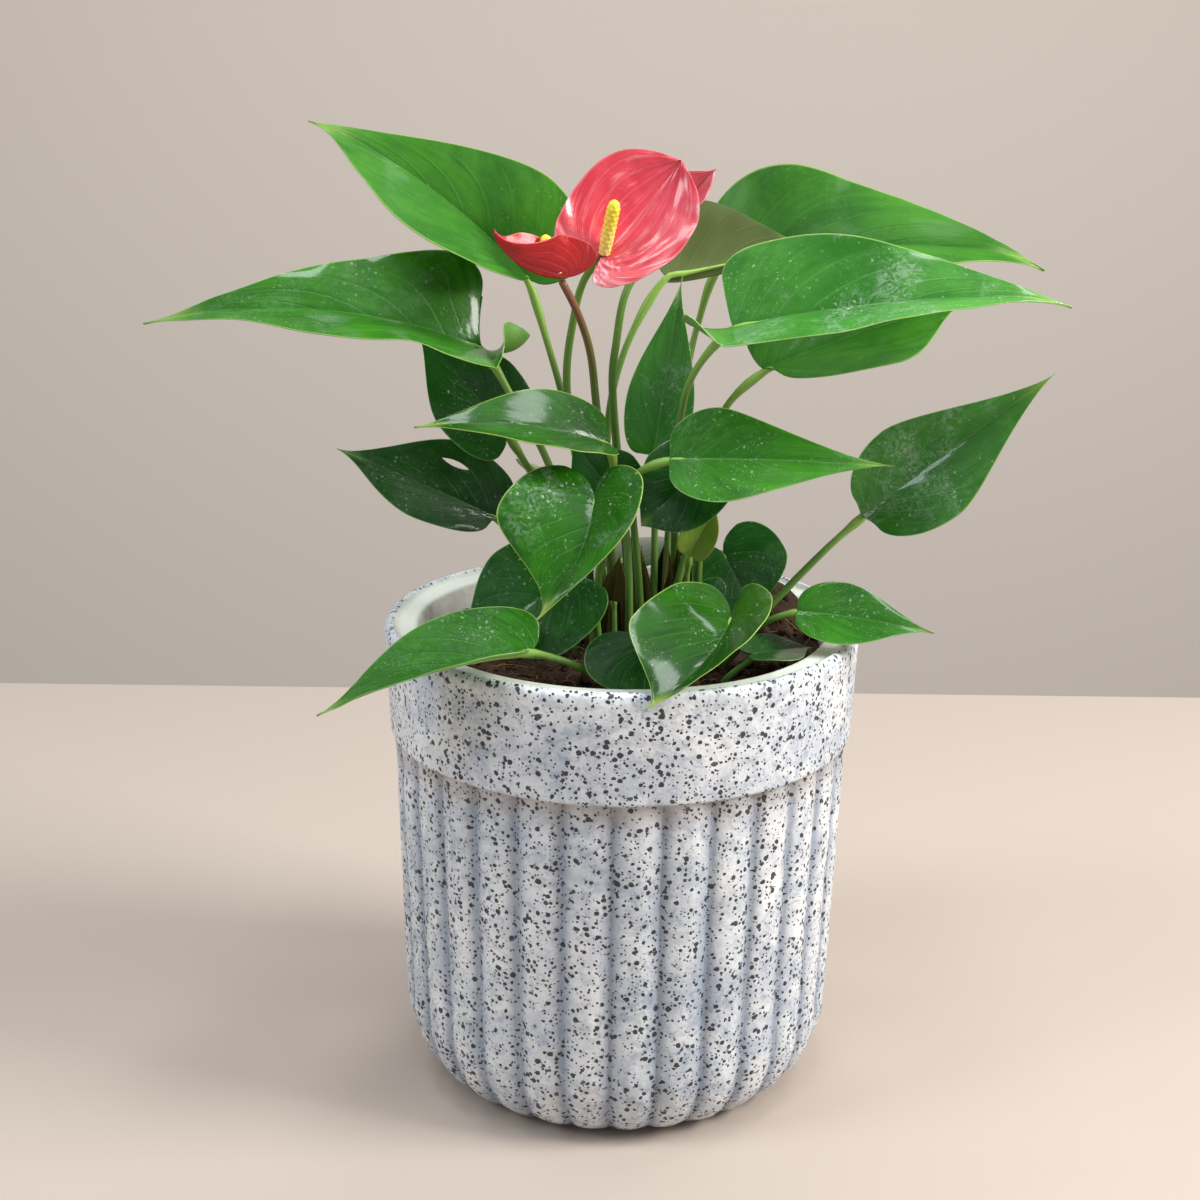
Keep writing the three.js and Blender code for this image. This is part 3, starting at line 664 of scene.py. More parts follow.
@dataclass(frozen=True)
class Blade:
    """A leaf-like blade, drawn flat and then folded, curled and arched between two places.

    It runs from base to tip, and its upper side looks towards face. Each half is half wide, times
    side, and is widest at that share of its length. Its lobe reaches lobe behind the base, with
    its crest at lobe_x of the width. Taper, neck and drip shape the curve from the widest place
    to the tip. Arch and hook bend the midrib down, bow sways it, and lift raises the lobes. The
    halves leave the midrib at the angle fold, which becomes tip_fold at the tip and rear_fold on
    the lobes, and turn on by curl. Wave is the height of the margin's ripple, waves is how often
    it rises along the blade, and phase shifts it. Lengths are in millimetres and angles in
    degrees, but phase in radians.

    A value that differs between the halves is a pair: (left, right), seen from the stalk.
    """

    name: str
    base: Triple
    tip: Triple
    face: Triple
    half: float = 16.0
    side: Pair = 1.0
    widest: Pair = 0.3
    lobe: Pair = 4.0
    lobe_x: Pair = 0.45
    taper: Pair = 0.3
    neck: Pair = 0.06
    drip: float = 0.3
    arch: float = 20.0
    hook: float = 0.0
    lift: Pair = 0.0
    bow: float = 0.0
    fold: Pair = 10.0
    tip_fold: Pair | None = None
    rear_fold: Pair | None = None
    curl: Pair = 0.0
    wave: float = 0.0
    waves: float = 2.0
    phase: float = 0.0

    def rib(self, steps: int = 48) -> Rib:
        """Works out the midrib.

        Its slope falls evenly by the arch, and over its last third by the hook times the square of
        the way gone there. Its ends are then turned onto the line from base to tip.

        Args:
            steps: how many steps the midrib has.

        Returns:
            The midrib at its full size.
        """
        share = np.linspace(0, 1, steps + 1)
        hooked = np.maximum(0, (share - HOOK_FROM) / (1 - HOOK_FROM)) ** 2
        slope = math.radians(self.arch) * (0.5 - share) - math.radians(self.hook) * hooked
        run, climb = (np.concatenate([[0], np.cumsum(part[1:] + part[:-1])]) / (2 * steps)
                      for part in (np.cos(slope), np.sin(slope)))
        turn = math.atan2(climb[-1], run[-1])
        chord = np.subtract(self.tip, self.base)
        length = float(np.linalg.norm(chord) / math.hypot(run[-1], climb[-1]))
        forward = unit(chord)
        up = unit(np.asarray(self.face, float) - np.dot(self.face, forward) * forward)
        along = length * (run * math.cos(turn) + climb * math.sin(turn))
        above = length * (climb * math.cos(turn) - run * math.sin(turn))
        return Rib(share, along, above, slope - turn, length, forward, up, np.cross(forward, up))

    def width(self, half: int) -> float:
        """Gives the greatest width of one half."""
        return self.half * of_half(self.side, half)

    def margin(self, m: np.ndarray, half: int, length: float) -> tuple[np.ndarray, np.ndarray]:
        """Gives the flat outline: one cubic curve to the widest place and another to the tip.

        Args:
            m: 0 at the stalk's end and 1 at the tip; the widest place is at WIDEST_AT.
            half: 0 on the left and 1 on the right.
            length: the midrib's length.

        Returns:
            The distance from the midrib, and the distance along it.
        """
        width = self.width(half)
        lobe = of_half(self.lobe, half)
        crest = of_half(self.lobe_x, half) * width
        widest = of_half(self.widest, half) * length
        rest = length - widest
        low = np.clip(m / WIDEST_AT, 0, 1)
        high = np.clip((m - WIDEST_AT) / (1 - WIDEST_AT), 0, 1)
        x = np.where(m < WIDEST_AT, cubic(low, crest, crest + 0.35 * width, width, width),
                     cubic(high, width, width, of_half(self.neck, half) * width, 0))
        y = np.where(m < WIDEST_AT,
                     cubic(low, -lobe, -lobe, widest - 0.55 * (lobe + widest), widest),
                     cubic(high, widest, widest + of_half(self.taper, half) * rest,
                           length - self.drip * rest, length))
        return x, y

    def flat(self, m: np.ndarray, w: np.ndarray, half: int,
             length: float) -> tuple[np.ndarray, np.ndarray]:
        """Gives the flat place at m along the margin and w of the way out to it.

        Each cross-line leaves the midrib at length times m to the power VEIN_SWEEP and runs to the
        margin as a curve whose middle is pulled in near the stalk.

        Args:
            m: 0 at the stalk's end and 1 at the tip.
            w: 0 on the midrib and 1 on the margin.
            half: 0 on the left and 1 on the right.
            length: the midrib's length.

        Returns:
            The distance from the midrib, and the distance along it.
        """
        margin_x, margin_y = self.margin(m, half, length)
        start = length * m ** VEIN_SWEEP
        pull = (1 - m) ** 4
        middle_x = margin_x / 2 - pull * 0.4 * of_half(self.lobe_x, half) * self.width(half)
        middle_y = (start + margin_y) / 2 - pull * 0.25 * of_half(self.lobe, half)
        return (2 * w * (1 - w) * middle_x + w * w * margin_x,
                (1 - w) ** 2 * start + 2 * w * (1 - w) * middle_y + w * w * margin_y)

    def bent(self, rib: Rib, x: np.ndarray, y: np.ndarray, half: int) -> np.ndarray:
        """Folds, curls, sways, arches and places the flat points.

        Across, a half leaves the midrib at the fold's angle and turns on by the curl. The midrib
        sways by a parabola, and the cross-lines turn with it. Behind the stalk's end the lobe rises
        on an arc whose whole turn is the lift.

        Args:
            rib: the midrib.
            x: distances from the midrib.
            y: distances along it, negative on the lobes.
            half: 0 on the left and 1 on the right.

        Returns:
            The places, with three numbers on the last axis.
        """
        x, y = np.broadcast_arrays(np.asarray(x, float), np.asarray(y, float))
        g = np.clip(y / rib.length, 0, 1)
        back = np.maximum(0, -y)
        lobe = max(of_half(self.lobe, half), 1e-3)
        lift = math.radians(of_half(self.lift, half)) / lobe or 1e-7
        raised = back * lift
        back_run, back_up = np.sin(raised) / lift, (1 - np.cos(raised)) / lift
        slope = np.interp(g, rib.share, rib.slope) - raised
        sideways = 4 * self.bow * g * (1 - g)
        turn = np.arctan(4 * self.bow / rib.length * (1 - 2 * g))
        start_turn = math.atan(4 * self.bow / rib.length)
        fold = of_half(self.fold, half)
        tip_fold = 0.6 * fold if self.tip_fold is None else of_half(self.tip_fold, half)
        rear_fold = fold if self.rear_fold is None else of_half(self.rear_fold, half)
        angle = np.radians(fold + (tip_fold - fold) * g
                           + (rear_fold - fold) * np.minimum(back / lobe, 1))
        curl = math.radians(of_half(self.curl, half)) or 1e-4
        width = self.width(half)
        u = np.abs(x) / width
        out = width * (np.sin(angle + curl * u) - np.sin(angle)) / curl
        ripple = np.sin(2 * math.pi * self.waves * np.clip(y / rib.length, -0.3, 1) + self.phase
                        + half * 1.7)
        lifted = (width * (np.cos(angle) - np.cos(angle + curl * u)) / curl
                  + self.wave * ripple * u * u * np.minimum(1.15 - g, 1))
        out = out if half == 1 else -out
        (tangent, normal), (start_tangent, start_normal) = (
            (swung(way, rib.forward, rib.up), swung(way, rib.up, -rib.forward))
            for way in (slope, rib.slope[0]))
        return (np.asarray(self.base, float)
                + np.interp(g, rib.share, rib.along)[..., None] * rib.forward
                + np.interp(g, rib.share, rib.above)[..., None] * rib.up
                + (sideways + out * np.cos(turn))[..., None] * rib.right
                - (out * np.sin(turn))[..., None] * tangent
                + lifted[..., None] * normal
                - (back_run * math.cos(start_turn))[..., None] * start_tangent
                - (back_run * math.sin(start_turn))[..., None] * rib.right
                + back_up[..., None] * start_normal)

    def sheet(self, rows: int, columns: int) -> tuple[np.ndarray, np.ndarray]:
        """Gives the blade's middle sheet from the left margin to the right one, and its marks.

        The points are closest together on the midrib and at the margins.

        Args:
            rows: steps from the stalk's end to the tip.
            columns: steps from the midrib to a margin.

        Returns:
            The places, and for each the m and w of its half and its distance from the midrib.
        """
        rib = self.rib()
        out = (1 - np.cos(math.pi * np.linspace(0, 1, columns + 1))) / 2
        m, w = np.meshgrid(np.linspace(0, 1, rows + 1), out, indexing="ij")
        halves, marks = [], []
        for half in (0, 1):
            x, y = self.flat(m, w, half, rib.length)
            halves.append(self.bent(rib, x, y, half))
            marks.append(np.stack([m, w, x], axis=-1))
        return (np.concatenate([halves[0][:, :0:-1], halves[1]], axis=1),
                np.concatenate([marks[0][:, :0:-1], marks[1]], axis=1))


def sheet_normals(points: np.ndarray) -> np.ndarray:
    """Gives a sheet's upward normals: the way across crossed with the way along, at length one.

    Args:
        points: the sheet's rows and columns of places.

    Returns:
        One normal for each place.
    """
    normals = np.cross(np.gradient(points, axis=1), np.gradient(points, axis=0))
    normals[-1] = normals[-2]
    return normals / np.maximum(np.linalg.norm(normals, axis=-1, keepdims=True), 1e-9)


def skins(points: np.ndarray, marks: np.ndarray, relief: np.ndarray, thickness: float,
          upper: int = 0, under: int = 1) -> list[Patch]:
    """Gives a sheet its two skins and the rim between them.

    The skins stand half the thickness off the sheet, plus the relief on both, and thin out to half
    the thickness at the margin.

    Args:
        points: the middle sheet.
        marks: three numbers for each of its points.
        relief: how far each point is raised, in millimetres.
        thickness: between the skins, in millimetres.
        upper: the finish number of the upper skin and the rim.
        under: the finish number of the underside.

    Returns:
        The upper skin, the underside and the rim.
    """
    normals = sheet_normals(points)
    stand = thickness / 2 * (1 - 0.5 * marks[..., 1] ** 12)
    top = points + normals * (relief + stand)[..., None]
    low = points + normals * (relief - stand)[..., None]

    def rim(grid: np.ndarray) -> np.ndarray:
        """Gives the outer round of a grid."""
        return np.concatenate([grid[0], grid[1:, -1], grid[-2:0:-1, 0]])

    edge = rim(marks).copy()
    edge[:, 1] = 1.0
    return [
        Patch(top, marks, finish=upper),
        Patch(low, marks, finish=under),
        Patch(np.stack([rim(top), rim(low)]), np.stack([edge, edge]), wrap=True, finish=upper),
    ]


def soil_height(x: np.ndarray, y: np.ndarray) -> np.ndarray:
    """Gives the soil's height: low lumps that fade at the wall, and one rounded heap.

    Args:
        x: places to the right of the pot's axis, in millimetres.
        y: places behind it.

    Returns:
        The height of each place.
    """
    lumps = 0.7 * np.sin(0.31 * x + 1.3) * np.cos(0.27 * y) + 0.4 * np.sin(0.55 * (x + y))
    edge = np.clip((MOUTH_RADIUS - np.hypot(x, y)) / 8, 0, 1)
    away = ((x - HEAP_X) ** 2 + (y - HEAP_Y) ** 2) / HEAP_SPREAD ** 2
    return SOIL_Z + lumps * edge + HEAP_HEIGHT * np.exp(-away)


def foot_point(foot: Sequence[float], leave: Triple = (0.0, 0.0, 1.0)) -> np.ndarray:
    """Gives the place in the soil, STEM_DEPTH below its surface, where a stalk starts.

    Args:
        foot: where it comes out, seen from above.
        leave: the way it leaves.

    Returns:
        The place.
    """
    way = unit(leave)
    top = np.array([foot[0], foot[1], float(soil_height(np.float64(foot[0]), np.float64(foot[1])))])
    return top - way * STEM_DEPTH / way[2]


class Tone(Enum):
    """The greens of the leaves."""

    FRESH = "fresh"
    # Fresh greens with dust and a stronger painted sheen, a painted reflection.
    DUSTY_SHEEN = "scuffed"
    SMOOTH = "smooth"
    MID = "mid"
    # Darker greens for leaves inside the plant: painted shade, with some of older leaves' darker
    # tone.
    DEEP_SHADED = "deep"
    # Greens under the heaviest painted sheen, a painted bluish reflection, made lighter as painted
    # light.
    COOL_SHEEN = "cool"
    OLIVE = "olive"
    YOUNG = "young"
    SHEATH = "sheath"


@dataclass(frozen=True)
class LeafFinish:
    """A waxy green skin with paler veins, a thin pale margin, and dust on its upper side.

    Dust, sheen and veins say how strongly the dust, the painted sheen and the veins show. The
    painted sheen is a painted bluish reflection.
    """

    dark: str
    light: str
    vein: str
    edge: str
    under: str
    rough: float = 0.34
    coat: float = 0.35
    dust: float = 0.5
    sheen: float = 0.3
    veins: float = 0.16
    # The colour of the painted sheen, a painted bluish reflection.
    painted_sheen_colour: str = "a6bfa8"
    dust_colour: str = "d3dfce"

    def upper(self, name: str) -> bpy.types.Material:
        """Makes the upper side's material.

        The greens are drawn out along the side veins. The painted sheen, a painted bluish
        reflection, and the dust gather in clouds, and fine scratches under them break up the shine.

        Args:
            name: the tone's name.

        Returns:
            The material.
        """
        shader = Shader(f"leaf_upper_{name}")
        m, w, aside = shader.marks()
        across = shader.split(shader.place)[0]
        grown = shader.noise(1.0, 3, 0.6, 0.7,
                             shader.gather(m * 11.0 - w * 3.4, w * 2.2, across * 12.0))
        cloud = shader.noise(30, 3, 0.6, 0.8)
        beside = (m * VEINS - w * VEIN_LEAN).off_line()
        vein = beside.step(0.1, 0.0) * w.step(0.9, 0.6)
        rib = aside.step(0.5, 0.12) * (1.0 - m * 0.55)
        scratch = shader.noise(320, 4, 0.65, 2.2)
        # Painted sheen: a painted bluish reflection, in clouds broken up by the scratches.
        painted_sheen = shader.noise(34, 4, 0.7, 1.0).step(0.46, 0.66) * scratch.step(0.42, 0.6)
        gathered = shader.noise(70, 3, 0.6, 0.5).step(0.42, 0.66)
        where = shader.shifted(1400.0, 0.0011)
        reach, number = shader.cells(560, where)
        speck = (number * 0.24 - reach).step(-0.05, 0.03) * number.step(0.6, 0.64)
        fine, chosen = shader.cells(1250, where)
        mote = fine.step(0.32, 0.16) * chosen.step(0.4, 0.5) * gathered
        dust = (speck * (0.15 + gathered * 0.85) + mote * 0.6).least(1.0) * self.dust
        colour = shader.painted(
            tint(self.dark),
            ((grown * 0.35 + cloud * 0.65).step(0.34, 0.68), self.light),
            (w.step(0.85, 0.1) * 0.35, self.dark),
            (beside.step(0.3, 0.06) * 0.22, self.dark),
            (vein * self.veins, self.vein),
            (aside.step(2.2, 0.3) * 0.3, self.dark),
            (rib * self.veins * 2.4, self.vein),
            (w.step(0.975, 0.998) * 0.55, self.edge),
            (m.step(0.86, 1.0) * 0.6, self.edge),
            # The painted sheen, a painted reflection, and then the dust.
            ((painted_sheen * self.sheen).least(1.0), self.painted_sheen_colour),
            (dust, self.dust_colour))
        rough = self.rough + painted_sheen * 0.1 + dust * 0.3 + cloud * 0.05
        height = scratch * 0.35 + grown * 0.4 + vein * -0.3 + shader.noise(900, 2, 0.5) * 0.15
        return shader.finish(colour, rough, shader.bump(height, 0.5, 0.0004),
                             self.coat * (1.0 - dust), 0.1, 0.16)

    def lower(self, name: str) -> bpy.types.Material:
        """Makes the underside's material: paler, matt, with raised veins.

        Args:
            name: the tone's name.

        Returns:
            The material.
        """
        shader = Shader(f"leaf_under_{name}")
        m, w, aside = shader.marks()
        cloud = shader.noise(30, 3, 0.55)
        vein = (m * VEINS - w * VEIN_LEAN).off_line().step(0.08, 0.0) * w.step(1.0, 0.7)
        rib = aside.step(1.1, 0.4)
        colour = shader.painted(tint(self.under), (cloud * 0.35, self.light),
                                ((vein * 0.25 + rib * 0.4).least(0.8), self.vein))
        height = shader.noise(520, 3, 0.6) * 0.4 + vein * 0.6
        return shader.finish(colour, 0.5 + cloud * 0.1, shader.bump(height, 0.3, 0.0003), 0.0)


@dataclass(frozen=True)
class StalkFinish:
    """A smooth green stalk that turns from its foot's colour to its top's."""

    foot: str = "3c5220"
    middle: str = "5a8430"
    top: str = "94be4e"
    dot: str = "b9c98a"
    rough: float = 0.4

    def material(self, name: str) -> bpy.types.Material:
        """Makes the stalk's material: streaked along its height, with scattered pale dots.

        Args:
            name: the material's name.

        Returns:
            The material.
        """
        shader = Shader(name)
        base = shader.ramp(shader.marks()[0], (0.0, self.foot), (0.4, self.middle),
                           (0.66, self.middle), (0.97, self.top))
        x, y, z = shader.split(shader.place)
        streak = shader.noise(300, 3, 0.6, 0.3, shader.gather(x, y, z * 0.12))
        reach, number = shader.cells(700)
        dots = reach.step(0.2, 0.1) * number.step(0.7, 0.75)
        colour = shader.painted(base, (streak.step(0.35, 0.75) * 0.3, self.middle),
                                (dots * 0.4, self.dot))
        return shader.finish(colour, self.rough + streak * 0.15,
                             shader.bump(streak, 0.25, 0.0003), 0.15, 0.2)


LEAF_FINISHES = {
    Tone.FRESH: LeafFinish("104202", "2b6a06", "7db548", "bddc68", "76a445",
                           0.3, 0.5, 0.35, 0.04, 0.08),
    # Dust, and a stronger painted sheen, which is a painted reflection.
    Tone.DUSTY_SHEEN: LeafFinish("134a02", "2e740a", "7db548", "bddc68", "76a445",
                             0.3, 0.42, 0.45, 0.25, 0.07),
    Tone.SMOOTH: LeafFinish("256212", "438820", "68a040", "a6cc66", "6c9a45",
                            0.45, 0.08, 0.08, 0.05, 0.05),
    Tone.MID: LeafFinish("1e5c08", "3c8814", "74af50", "a6cc66", "6c9a45",
                         0.32, 0.5, 0.35, 0.1, 0.08),
    # Painted shade: the darker greens of leaves inside the plant, partly older leaves' own tone.
    Tone.DEEP_SHADED: LeafFinish("103c0f", "205a18", "4f8a3e", "7dab58", "4c763a",
                          0.32, 0.45, 0.25, 0.06, 0.07),
    # The heaviest painted sheen, a painted bluish reflection, on greens made lighter as painted
    # light.
    Tone.COOL_SHEEN: LeafFinish("2c721e", "509a36", "7db866", "b1d470", "6f9a52",
                          0.3, 0.6, 0.5, 0.45, 0.1),
    Tone.OLIVE: LeafFinish("323f14", "48571a", "66763a", "a39a4c", "56682c",
                           0.45, 0.1, 0.05, 0.03, 0.1),
    Tone.YOUNG: LeafFinish("6f9a2c", "93b43e", "c0d273", "b88a4a", "9fb450",
                           0.35, 0.35, 0.1, 0.1),
    Tone.SHEATH: LeafFinish("3f461c", "62582a", "847642", "6e4a28", "5e5428",
                            0.5, 0.1, 0.1, 0.05),
}


@dataclass(frozen=True)
class Leaf(Blade):
    """One leaf: its blade and the stalk that carries it."""

    stalk: Stalk = Stalk((0.0, 0.0))
    tone: Tone = Tone.MID
    rows: int = 72
    columns: int = 18

    def relief(self, points: np.ndarray, marks: np.ndarray) -> np.ndarray:
        """Gives the blade's low relief.

        A channel lies along the midrib and a shallower one on each side vein, the fields between
        them swell by a cosine across and a sine along, and the margin and the whole sheet undulate.

        Args:
            points: the middle sheet.
            marks: its m, w and distance from the midrib.

        Returns:
            The height of each point, in millimetres.
        """
        m, w, aside = marks[..., 0], marks[..., 1], marks[..., 2]
        size = min(1.0, self.half / 18)
        channel = -LEAF_CHANNEL * np.exp(-(aside / 0.9) ** 2) * (1 - m ** 3)
        beside = (m * VEINS - w * VEIN_LEAN) % 1 - 0.5
        veins = -LEAF_VEIN * np.exp(-(beside / 0.12) ** 2) * (1 - w ** 6)
        seed = sum(self.name.encode())
        uneven = 0.6 + 0.5 * swell(np.stack([m * 40, w * 10], axis=-1), 4, 14.0, seed + 2)
        fields = LEAF_FIELD * np.cos(2 * math.pi * beside) * np.sin(math.pi * np.sqrt(w)) * uneven
        ripple = LEAF_RIPPLE * swell(points, 5, 17.0, seed) * w ** 5
        sway = LEAF_SWAY * swell(points, 5, 36.0, seed + 1) * w
        return size * (channel + veins + fields + ripple + sway)

    def handle(self, rib: Rib) -> tuple[np.ndarray, np.ndarray, np.ndarray]:
        """Gives the stalk's path, its radii, and how far along it each point is.

        The path leaves the soil and meets the blade as one cubic curve, and then runs on under the
        midrib, thinner and thinner, to a little past the blade's middle.

        Args:
            rib: the blade's midrib.

        Returns:
            The centres, the radii, and the share of the stalk's length, which is 1 at the first
            place under the blade.
        """
        stalk = self.stalk
        foot = foot_point(stalk.foot, stalk.leave)
        arrive = unit(stalk.arrive if stalk.arrive is not None
                      else swung(rib.slope[0] + math.pi / 4, rib.forward, rib.up))
        end = np.asarray(self.base, float) - STALK_END_DROP * rib.up
        curve = cubic(np.linspace(0, 1, 80)[:, None], foot, foot + stalk.rise * unit(stalk.leave),
                      end - stalk.reach * arrive, end)
        under = (self.bent(rib, np.zeros(len(UNDER_AT)), np.array(UNDER_AT) * rib.length, 1)
                 - np.array(UNDER_BY)[:, None] * rib.up)
        path = through([*evenly(curve, 7)[:6], end, *under], 72)
        gone = gone_along(path)
        meets = gone[np.argmin(np.linalg.norm(path - under[0], axis=1))]
        share = gone / meets
        knee = np.exp(-((share - KNEE_PLACE) / KNEE_SPREAD) ** 2)
        past = np.clip((gone - meets) / (gone[-1] - meets), 0, 1)
        radii = np.where(
            share > 1,
            STALK_TOP_RADIUS + (STALK_END_RADIUS - STALK_TOP_RADIUS) * past ** 0.45,
            STALK_FOOT_RADIUS + (STALK_TOP_RADIUS - STALK_FOOT_RADIUS) * share
            + (KNEE_RADIUS - STALK_TOP_RADIUS) * knee)
        return path, STALK_SHARE * radii * min(1.0, 0.55 + self.half / 30), share

    def build(self, finishes: Finishes) -> bpy.types.Object:
        """Builds the leaf's piece and puts it in its node's place.

        Args:
            finishes: the shared materials.

        Returns:
            The leaf's piece.
        """
        points, marks = self.sheet(self.rows, self.columns)
        patches = skins(points, marks, self.relief(points, marks), LEAF_SKIN)
        path, radii, share = self.handle(self.rib())
        patches.append(tube(path, radii, STALK_SIDES, np.minimum(share, 1), finish=2))
        piece = piece_from(f"fine_{self.name}", patches, finishes.leaf[self.tone])
        return place(piece, "leaf", self.name)


# The pot


@dataclass(frozen=True)
class GlazeFinish:
    """A pale satin glaze full of dark specks, bare on the ledge, with a cooler painted shade in the
    grooves.

    Each row of sizes holds how many cells a metre has, the least and the greatest size of a speck
    as shares of its cell, and the share of cells that stay empty.
    """

    crest: str = "edf0f2"
    cool: str = "9dabbd"
    # The painted shade in the flutes' grooves.
    groove: str = "7f8da0"
    ledge: str = "e0e6dc"
    inner: str = "f6f4ee"
    speck: str = "080b12"
    pale_speck: str = "384252"
    shade: str = "9c9187"
    smudge: str = "7f8a9a"
    sizes: tuple[tuple[float, float, float, float], ...] = (
        (255.0, 0.12, 0.25, 0.5), (340.0, 0.14, 0.29, 0.35),
        (510.0, 0.16, 0.31, 0.35), (850.0, 0.17, 0.3, 0.5))

    def material(self) -> bpy.types.Material:
        """Makes the glaze: clouds of two pale greys, four sizes of specks and faint smudges.

        Returns:
            The material.
        """
        shader = Shader("pot_glaze")
        depth, bare, inside = shader.marks()
        height = shader.split(shader.place)[2]
        cloud = shader.noise(70, 4, 0.65, 1.0)
        wide = shader.noise(18, 2, 0.5, 0.5)
        brushed = shader.noise(240, 4, 0.7, 1.5)
        share = (cloud.step(0.36, 0.66) * 0.5 + wide.step(0.35, 0.7) * 0.25
                 + brushed.step(0.48, 0.66) * 0.35)
        collar = (POT_HEIGHT - COLLAR_HEIGHT) * MM
        below = height.step(collar - 0.012, collar - 0.001) * height.step(collar + 0.0012, collar)
        where = shader.shifted(700.0, 0.0009)
        specks: Source = 0.0
        for scale, low, high, rare in self.sizes:
            reach, number = shader.cells(scale, where)
            size = number * (high - low) + low
            spot = (size - reach).step(-0.02, 0.03) * number.step(rare, rare + 0.02)
            specks = spot.most(specks)
        specks = specks * (1.0 - bare)
        ink = shader.painted(tint(self.speck),
                             (shader.noise(220, 2).step(0.56, 0.7), self.pale_speck))
        colour = shader.painted(
            tint(self.crest),
            (share.least(1.0), self.cool),
            # painted shade in the grooves, darker where they are deeper
            (depth.step(0.05, 0.8) * 0.75, self.groove),
            (below * 0.5, self.shade),
            (shader.noise(110, 3, 0.6, 2.0).step(0.58, 0.74) * 0.45, self.smudge),
            (bare, self.ledge),
            (inside, self.inner))
        rough = 0.36 + cloud * 0.14 + specks * 0.1
        peel = shader.noise(260, 3, 0.6) * 0.8 + shader.noise(90, 2) * 0.5 - specks * 0.4
        return shader.finish(shader.mix(specks * 0.95, colour, ink), rough,
                             shader.bump(peel, 0.7, 0.0008), 0.2, 0.22)


@dataclass(frozen=True)
class Pot:
    """The fluted cover pot with its plain collar, rolled rim and sunken ledge."""

    height: float = POT_HEIGHT
    columns: int = 450
    glaze: GlazeFinish = field(default_factory=GlazeFinish)

    def outside(self) -> np.ndarray:
        """Gives the body's profile: the base, a quarter ellipse, and a straight flare.

        Returns:
            The radius, the height and the flutes' share of each point.
        """
        turn = np.linspace(0, math.pi / 2, 26)
        fillet = np.stack([BASE_RADIUS + (BODY_FOOT_RADIUS - BASE_RADIUS) * np.sin(turn),
                           BASE_FILLET_HEIGHT * (1 - np.cos(turn)), np.ones(26)], axis=1)
        top = self.height - COLLAR_HEIGHT
        inner = np.array([[0, 0, 0], [30, 0, 0], [44, 0, 0.6]])
        up = np.linspace(0, 1, 24)[1:]
        body = np.stack([BODY_FOOT_RADIUS + (BODY_TOP_RADIUS - BODY_FOOT_RADIUS) * up,
                         BASE_FILLET_HEIGHT + (top - 0.6 - BASE_FILLET_HEIGHT) * up,
                         np.ones(23)], axis=1)
        return np.concatenate([inner, fillet, body])

    def mouth(self) -> np.ndarray:
        """Gives the profile of the collar, the rim and the ledge, with its corners rounded.

        Returns:
            The radius, the height and the flutes' share of each point.
        """
        top = self.height
        corners = np.array([
            [BODY_TOP_RADIUS, top - COLLAR_HEIGHT - 0.3, 0.6],
            [BODY_TOP_RADIUS + 0.1, top - COLLAR_HEIGHT, 0],
            [COLLAR_FOOT_RADIUS - 0.1, top - COLLAR_HEIGHT + 0.1, 0],
            [COLLAR_FOOT_RADIUS, top - COLLAR_HEIGHT + 1.0, 0],
            [RIM_RADIUS, top - 3.2, 0], [RIM_RADIUS - 0.3, top - 1.2, 0],
            [RIM_RIDGE_RADIUS + 0.4, top, 0], [RIM_RIDGE_RADIUS - 0.8, top, 0],
            [LEDGE_RADIUS, LEDGE_Z + 0.1, 0], [LEDGE_RADIUS - 1, LEDGE_Z - 0.1, 0],
            [MOUTH_RADIUS + 1.2, LEDGE_Z, 0], [MOUTH_RADIUS + 0.2, LEDGE_Z - 0.4, 0],
            [MOUTH_RADIUS - 0.1, LEDGE_Z - 2, 0],
        ])
        return eased(corners, 132, 3)

    def build(self, slot: str) -> bpy.types.Object:
        """Builds the pot's one closed skin.

        Every ring's radius falls short by the flute's depth times its share. The depth is
        RIB_DEPTH times 1 less the 0.7th power of the sine's size, which gives rounded crests
        and narrow grooves.

        Args:
            slot: a name handed on to place.

        Returns:
            The pot's piece.
        """
        drop = np.linspace(0, 1, 10)
        wall = np.stack([MOUTH_RADIUS - 0.1 + (FLOOR_RADIUS - MOUTH_RADIUS) * drop,
                         LEDGE_Z - 2 + (FLOOR_Z - LEDGE_Z + 2) * drop, 0 * drop], axis=1)[1:]
        profile = np.concatenate([self.outside(), self.mouth(), wall,
                                  [[20, FLOOR_Z, 0], [0, FLOOR_Z, 0]]])
        angle = np.linspace(0, 2 * math.pi, self.columns, endpoint=False)
        rounds = np.abs(np.sin(RIB_COUNT / 2 * angle)) ** 0.7
        reach, height, depth = (np.repeat(part[:, None], self.columns, axis=1)
                                for part in profile.T)
        groove = (1 - rounds) * depth
        x, y = around(reach - RIB_DEPTH * groove, math.radians(RIB_TURN) + angle)
        points = np.stack([x, y, height], axis=-1)
        wobble = (POT_SWAY * swell(points, 6, 30.0, 3) * np.clip(reach / 40 - 0.5, 0, 1)
                  + POT_GRAIN * swell(points, 7, 10.0, 8) * np.minimum(depth, 1))
        points[..., :2] *= (1 + wobble / 70)[..., None]
        past = np.arange(len(profile))[:, None] > np.argmax(profile[:, 1])
        bare = past * np.clip((RIM_RIDGE_RADIUS - 1 - reach) / 0.7, 0, 1)
        inside = past * np.clip(LEDGE_Z - 0.6 - height, 0, 1)
        marks = np.stack([groove, bare, inside], axis=-1)
        piece = piece_from("fine_pot", [Patch(points, marks, wrap=True)], [self.glaze.material()])
        return place(piece, slot, "pot")


# The soil


